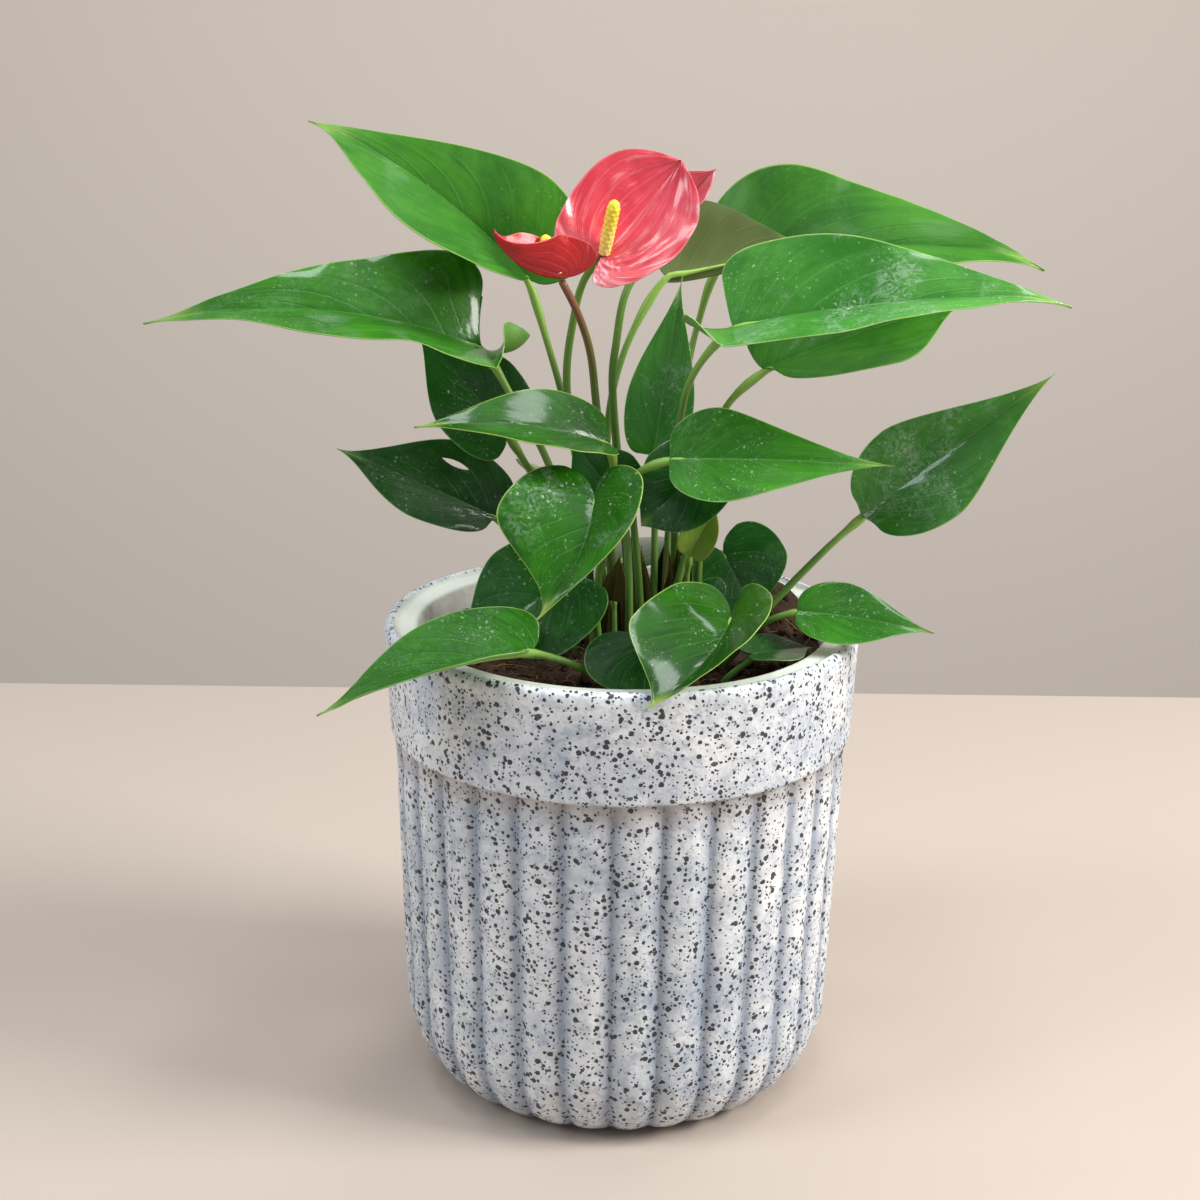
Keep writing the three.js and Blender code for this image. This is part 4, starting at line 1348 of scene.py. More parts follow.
@dataclass(frozen=True)
class SoilFinish:
    """Dark damp peat, its paler fibres and its white bits."""

    dark: str
    light: str
    rough: float = 0.95

    def material(self, name: str) -> bpy.types.Material:
        """Makes the material: two browns by noise and by the clump's own number.

        Args:
            name: the material's name.

        Returns:
            The material.
        """
        shader = Shader(name)
        cloud = shader.noise(160, 5, 0.7, 0.5)
        share = (cloud.step(0.3, 0.75) * 0.6 + shader.marks()[0] * 0.5).least(1.0)
        colour = shader.painted(tint(self.dark), (share, self.light))
        relief = shader.bump(shader.noise(900, 4, 0.7), 0.8, 0.001)
        return shader.finish(colour, self.rough, relief, shine=0.25)


@dataclass(frozen=True)
class Soil:
    """The peat mix: its uneven surface, loose crumbs, curled fibres and a few white bits.

    The plug stands a rise above the pot's floor, on a foot. Its wall leans out through a waist to
    the top. Crumbs lie within reach of the axis, and no fibre runs out past far.
    """

    crumbs: int = 760
    fibres: int = 420
    bits: int = 16
    foot: float = 56.0
    waist: float = 60.0
    waist_height: float = 90.0
    wall: float = 63.0
    edge: float = 63.2
    rise: float = 0.3
    reach: float = 61.5
    far: float = 62.0
    seed: int = 11

    def ground(self) -> Patch:
        """Gives the plug, from its bottom up the wall and over the lumpy top.

        The top is soil_height plus two sizes of random swell, and it ends in one point.

        Returns:
            The plug.
        """
        turn = np.linspace(0, 2 * math.pi, 168, endpoint=False)
        radii = np.concatenate([[0.0, self.foot, self.waist, self.wall],
                                np.linspace(self.edge, 0, 78)])
        x, y = around(radii[:, None], turn)
        flat = np.stack([x, y], axis=-1)
        rough = 0.9 * swell(flat, 7, 9.0, self.seed) + 0.55 * swell(flat, 8, 3.6, self.seed + 1)
        z = soil_height(x, y) + rough
        z[:2] = FLOOR_Z + self.rise
        z[2] = self.waist_height
        z[-1] = z[-1].mean()
        points = np.stack([x, y, z], axis=-1)
        return Patch(points, marked(points, np.clip(0.5 + rough / 3, 0, 1)), wrap=True)

    def scatter(self, draw: np.random.Generator, count: int) -> tuple[np.ndarray, np.ndarray]:
        """Draws places on the soil, even over its area.

        Args:
            draw: the random generator.
            count: how many.

        Returns:
            Their x and y, and the soil's height there.
        """
        radius = self.reach * np.sqrt(draw.uniform(0, 1, count))
        x, y = around(radius, draw.uniform(0, 2 * math.pi, count))
        return np.stack([x, y], axis=1), soil_height(x, y)

    def lumps(self, count: int, low: float, high: float, seed: int, finish: int) -> Patch:
        """Gives small rough lumps: balls of four rows by six, stretched and dented at random.

        Args:
            count: how many.
            low: the smallest radius, in millimetres.
            high: the largest radius.
            seed: fixes the draw.
            finish: the place of the material.

        Returns:
            All the lumps as one patch of many copies.
        """
        draw = np.random.default_rng(seed)
        flat, z = self.scatter(draw, count)
        size = low + (high - low) * draw.uniform(0, 1, count) ** 2.5
        polar = np.linspace(0, math.pi, 5)[None, :, None]
        turn = np.linspace(0, 2 * math.pi, 6, endpoint=False)[None, None, :]
        dent = draw.uniform(0.7, 1.25, (count, 5, 6)) * np.sin(polar)
        scale = draw.uniform(0.65, 1.3, (count, 3)) * size[:, None]
        height = np.broadcast_to(np.cos(polar), dent.shape)
        shape = np.stack([dent * np.cos(turn), dent * np.sin(turn), height], axis=-1)
        middles = np.concatenate([flat, (z + 0.25 * size)[:, None]], axis=1)
        points = shape * scale[:, None, None] + middles[:, None, None]
        number = draw.uniform(0, 1, count)[:, None, None]
        return Patch(points, marked(points, number), wrap=True, finish=finish)

    def threads(self) -> Patch:
        """Gives the fibres: three-sided threads whose heading turns at a steady random rate.

        A thread's height is the soil's plus a low arch, and it thins to nothing at both ends.

        Returns:
            All the threads as one patch of many copies.
        """
        draw = np.random.default_rng(self.seed + 5)
        count, steps = self.fibres, 8
        flat, _ = self.scatter(draw, count)
        length = draw.uniform(4, 15, count)[:, None]
        bend = draw.normal(0, 0.22, count)[:, None]
        start = draw.uniform(0, 2 * math.pi, count)[:, None]
        heading = start + bend * np.arange(steps)
        x = flat[:, 0, None] + np.cumsum(np.cos(heading), axis=1) * length / steps
        y = flat[:, 1, None] + np.cumsum(np.sin(heading), axis=1) * length / steps
        inside = np.minimum(1, self.far / np.maximum(np.hypot(x, y), 1e-6))
        x, y = x * inside, y * inside
        s = np.linspace(0, 1, steps)
        arch = draw.uniform(0.2, 2.2, count)[:, None] * np.sin(math.pi * s) ** 0.7
        z = soil_height(x, y) + 0.5 + arch
        radius = draw.uniform(0.09, 0.22, count)[:, None] * np.sin(math.pi * s) ** 0.4
        turn = np.linspace(0, 2 * math.pi, 3, endpoint=False)
        aside = radius[..., None] * np.cos(turn)
        points = np.stack([x[..., None] - aside * np.sin(heading)[..., None],
                           y[..., None] + aside * np.cos(heading)[..., None],
                           z[..., None] + radius[..., None] * np.sin(turn)], axis=-1)
        number = draw.uniform(0, 1, count)[:, None, None]
        return Patch(points, marked(points, number), wrap=True, finish=1)

    def build(self, slot: str) -> bpy.types.Object:
        """Builds the soil's piece and gives it its three finishes.

        Args:
            slot: a name handed on to place.

        Returns:
            The soil's piece.
        """
        patches = [
            self.ground(),
            self.lumps(self.crumbs, 0.6, 3.2, self.seed + 3, 0),
            self.threads(),
            self.lumps(self.bits, 0.7, 1.7, self.seed + 4, 2),
        ]
        finishes = [
            SoilFinish("1d130d", "4b3626").material("soil_peat"),
            SoilFinish("5a3f28", "9a7a55").material("soil_fibre"),
            SoilFinish("b9b2a2", "e6e0d2", 0.8).material("soil_bits"),
        ]
        return place(piece_from("fine_soil", patches, finishes), slot, "soil")


# The flowers


@dataclass(frozen=True)
class SpatheFinish:
    """A waxy red bract: sunken veins, streaks of painted highlight along them, a lighter edge."""

    dark: str
    light: str
    # The painted highlight's colour, in streaks along the veins; a little of it is the bract's own
    # paleness.
    streak: str
    edge: str
    pale_lobe: str
    # How strongly the painted highlight shows.
    highlight_streaks: float = 0.5
    rough: float = 0.3
    coat: float = 0.8
    shine: float = 0.5

    def material(self, name: str) -> bpy.types.Material:
        """Makes the material: two reds by clouds, and a painted highlight in streaks along the
        veins.

        The third mark is 100 times the way that a place lies out among the veins.

        Args:
            name: the flower's name.

        Returns:
            The material.
        """
        shader = Shader(f"spathe_{name}")
        m, w, aside = shader.marks()
        grown = aside * 0.01
        across = shader.split(shader.place)[0]
        cloud = shader.noise(50, 3, 0.6, 0.5)
        drawn = shader.noise(1.0, 4, 0.62, 0.5,
                             shader.gather(grown * 10.0, m * 4.5, across * 25.0))
        # Where the painted highlight lies, in streaks along the veins.
        streak = drawn.step(0.54, 0.72) * w.step(0.05, 0.3) * w.step(1.02, 0.85)
        beside = (grown * SPATHE_VEINS).off_line()
        colour = shader.painted(
            tint(self.dark),
            (cloud.step(0.35, 0.7), self.light),
            (streak * self.highlight_streaks, self.streak),
            (beside.step(0.34, 0.1) * 0.25, self.dark),
            (beside.step(0.1, 0.0) * 0.2, self.edge),
            (w.step(0.965, 0.998) * 0.6, self.edge),
            (m.step(0.25, 0.0) * w.step(0.2, 0.9) * 0.6, self.pale_lobe))
        height = shader.noise(500, 3, 0.6) * 0.25 + drawn * 0.7
        return shader.finish(colour, self.rough + cloud * 0.12,
                             shader.bump(height, 0.5, 0.0005), self.coat, 0.16, self.shine)


@dataclass(frozen=True)
class SpadixFinish:
    """A knobby spike, bright yellow at its tip and creamier lower down."""

    stops: tuple[tuple[float, str], ...] = (
        (0.0, "f0da84"), (0.35, "fbe36c"), (0.68, "ffe33e"), (1.0, "ffe63c"))
    # The painted highlight on the grains' tops.
    crest: str = "fff4a8"
    # The painted shade between the grains.
    gap: str = "f2c640"

    def material(self) -> bpy.types.Material:
        """Makes the material: cream to yellow by height, lighter on the knobs.

        Returns:
            The material.
        """
        shader = Shader("spadix")
        along, knob, _ = shader.marks()
        base = shader.ramp(along, *self.stops)
        # painted highlight on the knobs and painted shade in the gaps between them
        colour = shader.painted(base, (knob.step(0.3, 1.0) * 0.4, self.crest),
                                (knob.step(0.0, -0.5) * 0.2, self.gap))
        grain = shader.bump(shader.noise(2500, 2), 0.2, 0.0002)
        return shader.finish(colour, 0.55, grain, 0.1, 0.3)


@dataclass(frozen=True)
class Flower(Blade):
    """One flower: its spathe, the stem that carries it, and the spadix where it shows.

    Way holds the stem's foot in the soil and then the places that it passes, and spadix holds its
    foot, its tip and its radius.
    """

    way: tuple[tuple[float, ...], ...] = ()
    spadix: tuple[Triple, Triple, float] | None = None
    rows: int = 88
    columns: int = 26

    def spathe(self, finish: bpy.types.Material) -> bpy.types.Object:
        """Builds the bract, with sunken veins and puckered fields between them.

        Its veins fan out from the stem's end and then run beside the margin: each keeps the same
        value of w over 1 less e to the power -5 m.

        Args:
            finish: the bract's material.

        Returns:
            The bract's piece.
        """
        points, marks = self.sheet(self.rows, self.columns)
        m, w, aside = marks[..., 0], marks[..., 1], marks[..., 2]
        seed = sum(self.name.encode()) + 40
        grown = np.minimum(w / (1.02 - np.exp(-5 * m)), 4.0)
        beside = (grown * SPATHE_VEINS) % 1 - 0.5
        near = np.clip((w - 0.05) / 0.15, 0, 1)
        veins = -SPATHE_VEIN * np.exp(-(beside / 0.12) ** 2) * (1 - w ** 6) * near
        fields = SPATHE_FIELD * np.cos(2 * math.pi * beside) * near * (1 - w ** 4)
        bumpy = swell(np.stack([grown * 14, m * 26, 0 * m], axis=-1), 8, 7.0, seed)
        channel = -SPATHE_CHANNEL * np.exp(-(aside / 0.8) ** 2)
        ripple = SPATHE_RIPPLE * swell(points, 5, 12.0, seed + 1) * w ** 6
        relief = (self.half / 19) ** 2.5 * (
            veins + fields + SPATHE_PUCKER * bumpy * w + channel + ripple)
        marks[..., 2] = 100 * grown
        patches = skins(points, marks, relief, SPATHE_SKIN, 0, 0)
        piece = piece_from(f"fine_spathe_{self.name}", patches, [finish])
        return place(piece, "spathe", f"spathe_{self.name}")

    def stem(self, finish: bpy.types.Material) -> bpy.types.Object:
        """Builds the stem: a round section along the curve through its places.

        Args:
            finish: the stem's material.

        Returns:
            The stem's piece.
        """
        foot = foot_point(self.way[0])
        places = [foot, np.array([self.way[0][0], self.way[0][1], SOIL_Z + 20])]
        path = through(places + [np.asarray(spot, float) for spot in self.way[1:]], 80)
        s = np.linspace(0, 1, 80)
        radii = STALK_FOOT_RADIUS + (STEM_TOP_RADIUS - STALK_FOOT_RADIUS) * s
        piece = piece_from(f"fine_stem_{self.name}", [tube(path, radii, STEM_SIDES, s)], [finish])
        return place(piece, "stem", f"flower_stem_{self.name}")

    def spike(self, finish: bpy.types.Material) -> bpy.types.Object:
        """Builds the spadix.

        Its radius is that of a rod with a round end, raised by three cosines whose crests cross at
        60 degrees, which gives staggered round grains.

        Args:
            finish: the spadix's material.

        Returns:
            The spadix's piece.
        """
        foot, tip, radius = self.spadix
        length = math.dist(foot, tip)
        axis = np.subtract(tip, foot) / length
        side = unit(np.cross(axis, (1.0, 0.0, 0.0)))
        other = np.cross(axis, side)
        s = np.concatenate([[0.0], np.linspace(0, 1, 110) ** 0.9])
        turn = np.linspace(0, 2 * math.pi, 72, endpoint=False)
        past = np.maximum(0, (s - SPIKE_ROUND_FROM) / (1 - SPIKE_ROUND_FROM))
        rounded = np.sqrt(np.clip(1 - past ** 2, 0, 1))
        body = radius * rounded * np.minimum(1, 0.88 + 0.48 * s)
        body[0] = 0
        climb = GRAINS * s[:, None] * length / (radius * math.sqrt(3))
        knob = (2 * np.cos(GRAINS * turn) * np.cos(climb) + np.cos(2 * climb)) / 3
        reach = body[:, None] * (1 + GRAIN_SHARE * knob)
        points = (np.asarray(foot, float) + (s * length)[:, None, None] * axis
                  + reach[..., None] * swung(turn, side, other))
        marks = marked(points, s[:, None])
        marks[..., 1] = knob
        piece = piece_from(f"fine_spadix_{self.name}", [Patch(points, marks, wrap=True)], [finish])
        return place(piece, "spadix", f"spadix_{self.name}")


# The leaves, from the top of the plant down, the flowers, and the flowers' reds and stems

LEAVES = (
    Leaf("leaf_upper_left", (-30, 10, 257), (-95, 0, 304), (0.1, -0.7, 0.7), tone=Tone.SMOOTH,
         half=26.5, side=(0.94, 1), widest=(0.4, 0.17), lobe=(-4, 10), lobe_x=(0.25, 0.45),
         taper=(0.35, 0.2), arch=38, hook=20, fold=(46, 30), tip_fold=(-5, 15),
         stalk=Stalk(foot=(-9, 10), leave=(-0.05, 0, 1), rise=60, arrive=(-0.3, 0, 0.9), reach=40)),
    Leaf("leaf_long_left", (-43, -12, 239), (-140, -30, 248), (0, -0.6, 0.8), tone=Tone.MID,
         half=23.5, side=(0.92, 1), widest=(0.3, 0.14), lobe=(17, -4), lobe_x=(0.1, 0.6),
         taper=(0.25, 0.28), arch=50, fold=(30, 28), rear_fold=(145, 28), lift=(85, 0), wave=3,
         waves=2, phase=-2, stalk=Stalk(foot=(-14, -5), rise=60, arrive=(-0.5, 0, 0.8), reach=35)),
    Leaf("leaf_shaded_left", (-37, -2, 212), (-65, 6, 243), (0.1, -0.95, 0.3), tone=Tone.DEEP_SHADED,
         half=15, lobe=5, taper=0.35, arch=15, stalk=Stalk(foot=(-14, 2))),
    Leaf("leaf_glossy_left", (-5, -28, 214), (-61, -42, 221), (0, -0.55, 0.83), tone=Tone.FRESH,
         half=13, widest=0.32, lobe=(1, -1), arch=35, fold=(25, 22),
         stalk=Stalk(foot=(-9, -13), rise=50)),
    Leaf("leaf_heart_front", (-9, -42, 201), (-25, -62, 170), (-0.35, -0.85, 0.4),
         tone=Tone.DUSTY_SHEEN, half=24, side=(0.72, 1.12), widest=(0.05, 0.3), lobe=(9, 9),
         lobe_x=(0.28, 0.35), taper=(0.36, 0.65), neck=0.03, drip=0.4, arch=20, bow=-4.3,
         fold=(26, 22), stalk=Stalk(foot=(2, -23))),
    Leaf("leaf_slit_left", (-39, 2, 183), (-88, -8, 207), (-0.1, -0.8, 0.6), tone=Tone.DEEP_SHADED,
         half=15, side=(0.8, 1.15), widest=(0.5, 0.35), lobe=(-3, 2), lobe_x=(0.3, 0.45),
         taper=(0.4, 0.3), arch=10, stalk=Stalk(foot=(-19, 8), reach=15)),
    Leaf("leaf_shaded_middle", (-1, -9, 191), (-17, -7, 211), (0, -0.9, 0.4), tone=Tone.DEEP_SHADED,
         half=12, widest=0.35, lobe=5, stalk=Stalk(foot=(3, -3), rise=20, reach=15)),
    Leaf("leaf_upright", (9, -3, 205), (17, 6, 259), (-0.15, -0.9, 0.4), tone=Tone.COOL_SHEEN, half=11,
         side=(1, 0.95), widest=0.27, lobe=0, taper=0.35, arch=10, fold=12,
         stalk=Stalk(foot=(10, 1), reach=20)),
    Leaf("leaf_pointed_right", (13, -30, 210), (79, -32, 209), (0, -0.75, 0.65), tone=Tone.MID,
         half=16, widest=0.22, lobe=0, lobe_x=0.3, taper=0.15, drip=0.35, arch=10,
         stalk=Stalk(foot=(6, -12), rise=60, arrive=(0.9, -0.2, 0.2), reach=20)),
    Leaf("leaf_shaded_right", (24, -18, 205), (5, -28, 189), (-0.2, -0.9, 0.35), tone=Tone.DEEP_SHADED,
         half=14, widest=0.35, lobe=5, taper=(0.75, 0.3), neck=0.3, drip=0.2, arch=15,
         stalk=Stalk(foot=(14, -9))),
    Leaf("leaf_large_right", (31, -22, 248), (128, -30, 256), (0, -0.6, 0.8), tone=Tone.COOL_SHEEN,
         half=24, side=(1, 0.85), widest=(0.2, 0.25), lobe=(1, 24), lobe_x=(0.6, 0.5),
         taper=(0.35, 0.2), hook=25, fold=(28, 30), rear_fold=(28, 48), lift=(0, 80),
         stalk=Stalk(foot=(17, 2), rise=60, arrive=(0.85, 0, 0.5), reach=25)),
    Leaf("leaf_back_right", (30, 40, 258), (129, 14, 261), (0, -0.6, 0.8), tone=Tone.SMOOTH,
         half=28, side=(1, 0.8), widest=(0.25, 0.55), lobe=(3, 2), taper=(0.22, 0.35), arch=30,
         hook=30, fold=(28, 30), wave=4, waves=1.43, phase=0.2,
         stalk=Stalk(foot=(14, 12), rise=70, reach=30)),
    Leaf("leaf_olive_behind", (13, 18, 257), (58, 17, 268), (-0.2, 0.9, -0.3), tone=Tone.OLIVE,
         half=22, side=(0.12, 1), lobe=(1, 3),
         stalk=Stalk(foot=(-3, 13), rise=60, arrive=(0.6, 0.2, 0.75), reach=45)),
    Leaf("leaf_under_right", (43, 5, 231), (103, 2, 253), (0, -0.6, 0.8), tone=Tone.SMOOTH,
         half=19.5, widest=(0.35, 0.6), lobe=(3, -4), lobe_x=(0.45, 0.2), taper=(0.35, 0.45),
         arch=10, fold=15, stalk=Stalk(foot=(24, 5), rise=60, arrive=(0.9, 0, 0.4), reach=20)),
    Leaf("leaf_outer_right", (73, -8, 187), (127, -20, 235), (0, -0.85, 0.5), tone=Tone.COOL_SHEEN,
         half=18, side=(0.95, 1), widest=(0.3, 0.36), lobe=(-2.5, -3.5), lobe_x=0.3, taper=0.2,
         arch=10, fold=12,
         stalk=Stalk(foot=(29, -13), leave=(0.75, 0.1, 0.6), rise=20, arrive=(0.75, 0.1, 0.6),
                     reach=20)),
    Leaf("leaf_low_right", (53, -25, 162), (94, -30, 157), (0.1, -0.7, 0.7), tone=Tone.MID, half=11,
         lobe=0, lobe_x=0.3, taper=0.35,
         stalk=Stalk(foot=(32, -17), leave=(0.6, 0, 0.8), rise=16, arrive=(1, 0, 0.1), reach=12)),
    Leaf("leaf_heart_right", (31, -50, 167), (6, -79, 149), (-0.45, -0.75, 0.5), tone=Tone.FRESH,
         half=25, side=(0.56, 0.99), widest=(0.05, 0.5), lobe=(17.5, 11.5), lobe_x=(0.08, 0.3),
         taper=(0.32, 0.75), neck=0.03, drip=0.4, arch=25, bow=-5, fold=(30, 25),
         stalk=Stalk(foot=(19, -30), rise=25, reach=12)),
    Leaf("leaf_low_left", (-27, -54, 158), (-88, -66, 141.4), (-0.1, -0.5, 0.86), tone=Tone.MID,
         half=16, lobe=(-3, 4), taper=(0.35, 0.42), arch=28, fold=(47, 25), tip_fold=(45, 15),
         stalk=Stalk(foot=(3, -43), leave=(-0.8, 0, 0.4), rise=8, arrive=(-0.95, 0, 0.1),
                     reach=12)),
    Leaf("leaf_round_left", (-17, -36, 174), (-50, -44, 153), (0, -0.8, 0.6), tone=Tone.DEEP_SHADED,
         half=19, lobe=8, taper=0.4, arch=15, fold=5,
         stalk=Stalk(foot=(-7, -24), rise=25, reach=12)),
    Leaf("leaf_low_front", (6, -46, 159), (10, -57, 144.5), (0, -0.6, 0.8), tone=Tone.DEEP_SHADED, half=19,
         lobe=4, taper=0.6, neck=0.3, drip=0.15, arch=10, fold=5,
         stalk=Stalk(foot=(10, -38), rise=10, reach=6)),
    Leaf("leaf_soil_right", (40, -34, 151.2), (58, -24, 150), (0.1, -0.3, 0.95), tone=Tone.DEEP_SHADED,
         half=10.3, side=(0.85, 1), lobe=4.5, taper=0.5, arch=10, fold=(2, 22),
         stalk=Stalk(foot=(29, -35), rise=6, reach=5)),
    Leaf("leaf_round_back", (33, 17, 168), (44, 10, 148), (0, -0.85, 0.5), tone=Tone.DEEP_SHADED,
         half=18.5, lobe=7, taper=0.5, arch=15, fold=5,
         stalk=Stalk(foot=(22, 20), rise=15, reach=8)),
    Leaf("leaf_behind_heart", (30, -22, 163), (19, -26, 151), (0, -0.8, 0.6), tone=Tone.DEEP_SHADED,
         half=10, lobe=6, arch=10, fold=5, stalk=Stalk(foot=(26, -5), rise=12, reach=8)),
    Leaf("leaf_rear_left", (-12, 32, 186), (-30, 82, 172), (0, 0.5, 0.86), tone=Tone.MID, half=20,
         lobe=6, arch=40, fold=12, stalk=Stalk(foot=(-10, 18), rise=30, reach=15)),
    Leaf("leaf_rear_right", (24, 34, 190), (38, 84, 176), (0, 0.5, 0.86), tone=Tone.MID, half=19,
         lobe=6, arch=40, fold=12, stalk=Stalk(foot=(7, 19), rise=30, reach=15)),
    Leaf("leaf_rear_low", (0, 34, 160), (4, 84, 154), (0, 0.4, 0.9), tone=Tone.DEEP_SHADED, half=17,
         lobe=6, arch=30, fold=10, stalk=Stalk(foot=(0, 24), rise=12, reach=8)),
    Leaf("leaf_young", (20.5, -14, 176.5), (28.5, -14, 193), (-0.1, -0.95, 0.2), tone=Tone.YOUNG,
         half=6, lobe=0.5, taper=0.6, arch=10, fold=25,
         stalk=Stalk(foot=(20, -13), rise=15, reach=8)),
    Leaf("sheath", (-3, -16, 162), (-1, -20, 178), (-0.2, -0.9, -0.3), tone=Tone.SHEATH, half=4,
         lobe=0, arch=10, fold=15, stalk=Stalk(foot=(-2, -17), rise=8, reach=4)),
)

FLOWERS = (
    Flower("main", (-7, -14, 268), (15.3, -6, 294.5), (-0.05, -0.9, 0.35), half=19,
           side=(1.02, 0.96), widest=(0.41, 0.42), lobe=(8.5, 9.5), lobe_x=(0.5, 0.2), taper=0.7,
           neck=0.45, drip=0.12, arch=-25, fold=6, curl=20,
           way=((-6, 5), (-18, 2, 224), (-16, -4, 247), (-13, -8, 259), (-7.5, -12.8, 267.5)),
           spadix=((-7, -14, 268), (-4, -20, 284), 1.9)),
    Flower("cup", (-19, -28, 262.6), (-38, -36, 277), (-0.15, 0.1, 0.95), half=13, side=(1, 0.85),
           widest=(0.25, 0.35), lobe=(10, 7), taper=(0.1, 0.8), neck=0.2, arch=-60, hook=-30,
           fold=(60, 66), tip_fold=(40, 66), curl=15,
           way=((-3, -2), (-9, -4, 222), (-11, -12, 239), (-15, -22, 252.5), (-19, -27.5, 261.2)),
           spadix=((-20, -28, 263.6), (-24.4, -27.1, 274.6), 1.7)),
    Flower("rear", (17, 20, 279), (27, 20, 290), (-0.5, -0.8, 0.2), half=8, lobe=3, taper=0.4,
           neck=0.2, arch=-10, fold=40,
           way=((2, 8), (-4, 5, 227), (-3, 6, 238), (0, 8, 254), (9, 14, 267), (16, 19.5, 278))),
)

FLOWER_FINISHES = {
    "main": (SpatheFinish("cc2c40", "e44c5c", "f4aeb0", "ee8a90", "e89aa0", 0.38),
             StalkFinish("3c5220", "527c28", "6c9636")),
    "cup": (SpatheFinish("98060f", "bc0c18", "c83038", "d8787c", "98101a", 0.15,
                         coat=0.35, shine=0.25),
            StalkFinish("3c5220", "4c6c26", "84443c")),
    "rear": (SpatheFinish("b02a3a", "d24a56", "e08a8c", "e08a8c", "cf5a62", 0.3),
             StalkFinish("3c5220", "527c28", "6c9636")),
}


# The whole plant and its studio


@dataclass
class Finishes:
    """The materials that several pieces share."""

    leaf: dict[Tone, list[bpy.types.Material]] = field(init=False)
    spadix: bpy.types.Material = field(init=False)

    def __post_init__(self) -> None:
        """Makes them."""
        stalk = StalkFinish().material("leaf_stalk")
        self.leaf = {tone: [look.upper(tone.value), look.lower(tone.value), stalk]
                     for tone, look in LEAF_FINISHES.items()}
        self.spadix = SpadixFinish().material()


@dataclass(frozen=True)
class Slit:
    """The lens-shaped tear in one leaf, seen from the front, with its turn in degrees."""

    leaf: str = "leaf_slit_left"
    middle: Triple = (-52.5, -4.0, 200.5)
    length: float = 9.6
    width: float = 1.8
    turn: float = -27.0

    def cut(self, piece: bpy.types.Object) -> None:
        """Cuts the tear through the blade with a lens-shaped prism, and drops the prism.

        Args:
            piece: the leaf's piece.
        """
        t = np.linspace(0, 1, 9)
        u = self.length * (t - 0.5)
        v = 2 * t * (1 - t) * self.width
        ring = np.stack([np.concatenate([u, u[-2:0:-1]]), np.concatenate([v, -v[-2:0:-1]])], axis=1)
        turn = math.radians(self.turn)
        x = self.middle[0] + ring[:, 0] * math.cos(turn) - ring[:, 1] * math.sin(turn)
        z = self.middle[2] + ring[:, 0] * math.sin(turn) + ring[:, 1] * math.cos(turn)
        depths = self.middle[1] + np.array([-20.0, -20.0, 20.0, 20.0])
        keep = np.array([0.0, 1.0, 1.0, 0.0])[:, None]
        middle = (x.mean(), z.mean())
        points = np.stack([middle[0] + keep * (x - middle[0]),
                           np.repeat(depths[:, None], len(x), axis=1),
                           middle[1] + keep * (z - middle[1])], axis=-1)
        prism = piece_from("tear", [Patch(points, wrap=True)], [])
        tear = piece.modifiers.new("tear", "BOOLEAN")
        tear.operation = "DIFFERENCE"
        tear.solver = "EXACT"
        tear.object = prism
        graph = bpy.context.evaluated_depsgraph_get()
        whole = piece.data
        piece.data = bpy.data.meshes.new_from_object(piece.evaluated_get(graph))
        piece.modifiers.clear()
        bpy.data.meshes.remove(whole)
        bpy.data.objects.remove(prism)


@dataclass(frozen=True)
class Plant:
    """Everything that grows in the pot."""

    leaves: tuple[Leaf, ...] = ()
    flowers: tuple[Flower, ...] = ()
    slit: Slit = field(default_factory=Slit)
    seed: int = 21
    husks: int = 20
    husk_middle: tuple[float, float] = (6.0, 2.0)
    husk_reach: tuple[float, float] = (3.0, 19.0)
    rear_husks: tuple[tuple[float, float], ...] = (
        (9, 23), (12, 26), (15, 24), (18, 27), (21, 24))

    def litter(self, finish: list[bpy.types.Material]) -> None:
        """Adds the withered sheaths that stand among the feet of the stalks.

        Args:
            finish: the upper, the lower and the stalk's material.
        """
        draw = np.random.default_rng(self.seed)
        patches: list[Patch] = []
        turn = draw.uniform(0, 2 * math.pi, self.husks)
        reach = draw.uniform(*self.husk_reach, self.husks)
        middles = np.stack([self.husk_middle[0] + reach * np.cos(turn),
                            self.husk_middle[1] + reach * np.sin(turn)], axis=1)
        for x, y in (*middles, *self.rear_husks):
            foot = float(soil_height(np.array(x), np.array(y))) - 1
            lean = draw.uniform(-3, 3, 2)
            tip = (x + lean[0], y + lean[1], foot + draw.uniform(16, 40))
            husk = Blade("husk", (x, y, foot), tip, (draw.uniform(-0.4, 0.4), -1, 0),
                         half=draw.uniform(2.2, 3.8), lobe=0, widest=0.4, taper=0.6,
                         arch=draw.uniform(-25, 25), fold=40, curl=25)
            points, marks = husk.sheet(20, 6)
            patches += skins(points, marks, np.zeros(marks.shape[:2]), HUSK_SKIN)
        place(piece_from("fine_husks", patches, finish), "leaf")

    def build(self) -> None:
        """Builds the leaves and then the flowers."""
        finishes = Finishes()
        for leaf in self.leaves:
            piece = leaf.build(finishes)
            if leaf.name == self.slit.leaf:
                self.slit.cut(piece)
        self.litter(finishes.leaf[Tone.SHEATH])
        for flower in self.flowers:
            bract, stem = FLOWER_FINISHES[flower.name]
            flower.spathe(bract.material(flower.name))
            flower.stem(stem.material(f"stem_{flower.name}"))
            if flower.spadix:
                flower.spike(finishes.spadix)


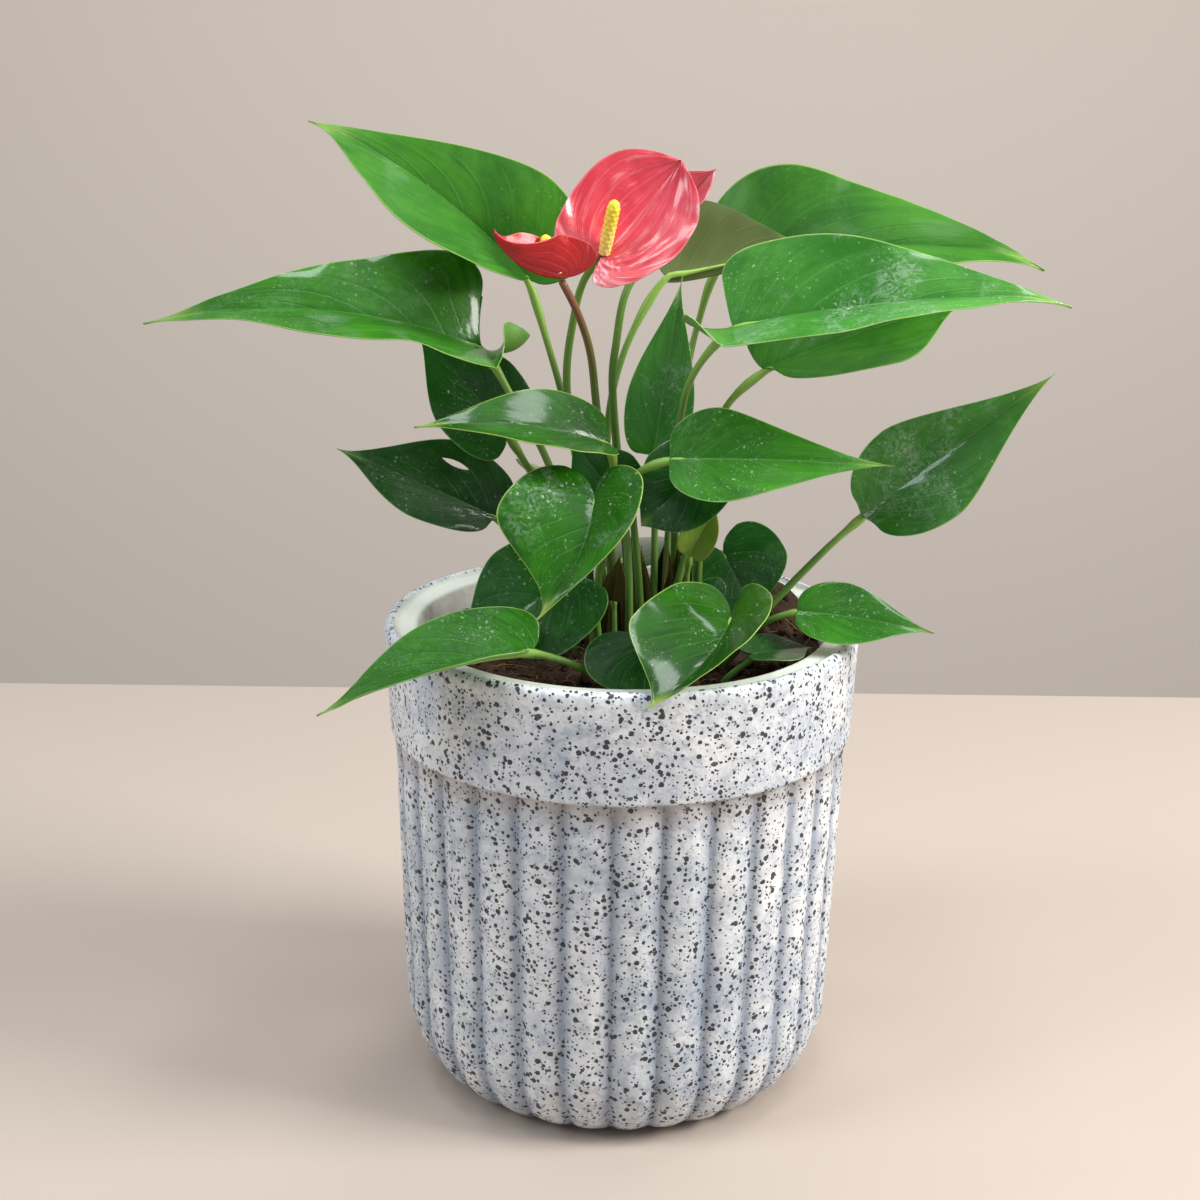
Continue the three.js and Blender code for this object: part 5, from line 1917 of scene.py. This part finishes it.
@dataclass(frozen=True)
class Studio:
    """The pale table, the wall behind it, the soft lights and the camera."""

    table: str = "beb1a6"
    wall: str = "e0d4c8"
    air: tuple[float, float, float, float] = (0.95, 0.96, 1.0, 1.0)
    air_strength: float = 0.32
    pane_height: float = 1.15
    pane_size: float = 0.21
    pane_colour: Triple = (0.95, 0.98, 1.0)
    panes: tuple[Triple, ...] = ((-0.45, -0.3, 1.68), (0.0, -0.35, 1.92), (0.45, -0.3, 1.68),
                                 (-0.4, 0.25, 1.44), (0.05, 0.3, 1.68), (0.5, 0.25, 1.68))
    side_size: float = 0.45
    sides: tuple[tuple[str, Triple, float, Triple], ...] = (
        ("right", (0.95, -0.25, 0.8), 16.0, (1.0, 0.97, 0.93)),
        ("left", (-0.95, -0.4, 0.9), 5.0, (0.86, 0.93, 1.0)))
    lens: float = 36 * 1977 / 1200  # a focal length of 1977 pixels, where 1200 are 36 mm
    eye: Triple = (-0.007, -0.6, 0.3384)
    pitch: float = 73.2
    roll: float = 0.7

    def plane(self, name: str, corners: Sequence, colour: str) -> None:
        """Adds one plain matt surface that isn't part of the object."""
        surface = Shader(name).finish(tint(colour), 0.75, shine=0.2)
        piece_from(name, [Patch(np.array(corners, float))], [surface])

    def light(self, name: str, spot: Triple, aim: Triple, size: float, power: float,
              colour: Triple) -> None:
        """Adds one square soft light.

        Args:
            name: its name.
            spot: where it hangs.
            aim: the place that it faces.
            size: its side, in metres.
            power: its power.
            colour: its colour.
        """
        lamp = bpy.data.lights.new(name, "AREA")
        lamp.size = size
        lamp.energy = power
        lamp.color = colour
        holder = bpy.data.objects.new(name, lamp)
        holder.location = spot
        holder.rotation_euler = (Vector(aim) - Vector(spot)).to_track_quat("-Z", "Y").to_euler()
        bpy.context.scene.collection.objects.link(holder)

    def camera(self) -> None:
        """Adds the camera."""
        data = bpy.data.cameras.new("camera")
        data.lens = self.lens
        data.clip_start = 0.01
        camera = bpy.data.objects.new("camera", data)
        camera.matrix_world = (Matrix.Translation(self.eye)
                               @ Matrix.Rotation(math.radians(self.pitch), 4, "X")
                               @ Matrix.Rotation(math.radians(self.roll), 4, "Z"))
        bpy.context.scene.collection.objects.link(camera)
        bpy.context.scene.camera = camera

    def build(self) -> None:
        """Sets up the stage, the lights, the air and the camera."""
        self.plane("table", [[[-2500, -1500, 0], [2500, -1500, 0]],
                             [[-2500, 360, 0], [2500, 360, 0]]], self.table)
        self.plane("wall", [[[-3500, 1300, -1500], [3500, 1300, -1500]],
                            [[-3500, 1300, 2500], [3500, 1300, 2500]]], self.wall)
        for number, (x, y, power) in enumerate(self.panes):
            self.light(f"pane_{number}", (x, y, self.pane_height), (x * 0.6, y * 0.6, 0.2),
                       self.pane_size, power, self.pane_colour)
        for name, spot, power, colour in self.sides:
            self.light(name, spot, (0, 0, 0.2), self.side_size, power, colour)
        world = bpy.context.scene.world or bpy.data.worlds.new("air")
        bpy.context.scene.world = world
        world.use_nodes = True
        air = world.node_tree.nodes["Background"]
        air.inputs["Color"].default_value = self.air
        air.inputs["Strength"].default_value = self.air_strength
        self.camera()
        bpy.context.scene.view_settings.view_transform = "Standard"


def main() -> None:
    """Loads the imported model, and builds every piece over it."""
    logging.basicConfig(level=logging.INFO, format="%(message)s")
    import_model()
    Studio().build()
    Pot().build("pot_glaze")
    Soil().build("soil")
    Plant(LEAVES, FLOWERS).build()


if __name__ == "__main__":
    main()
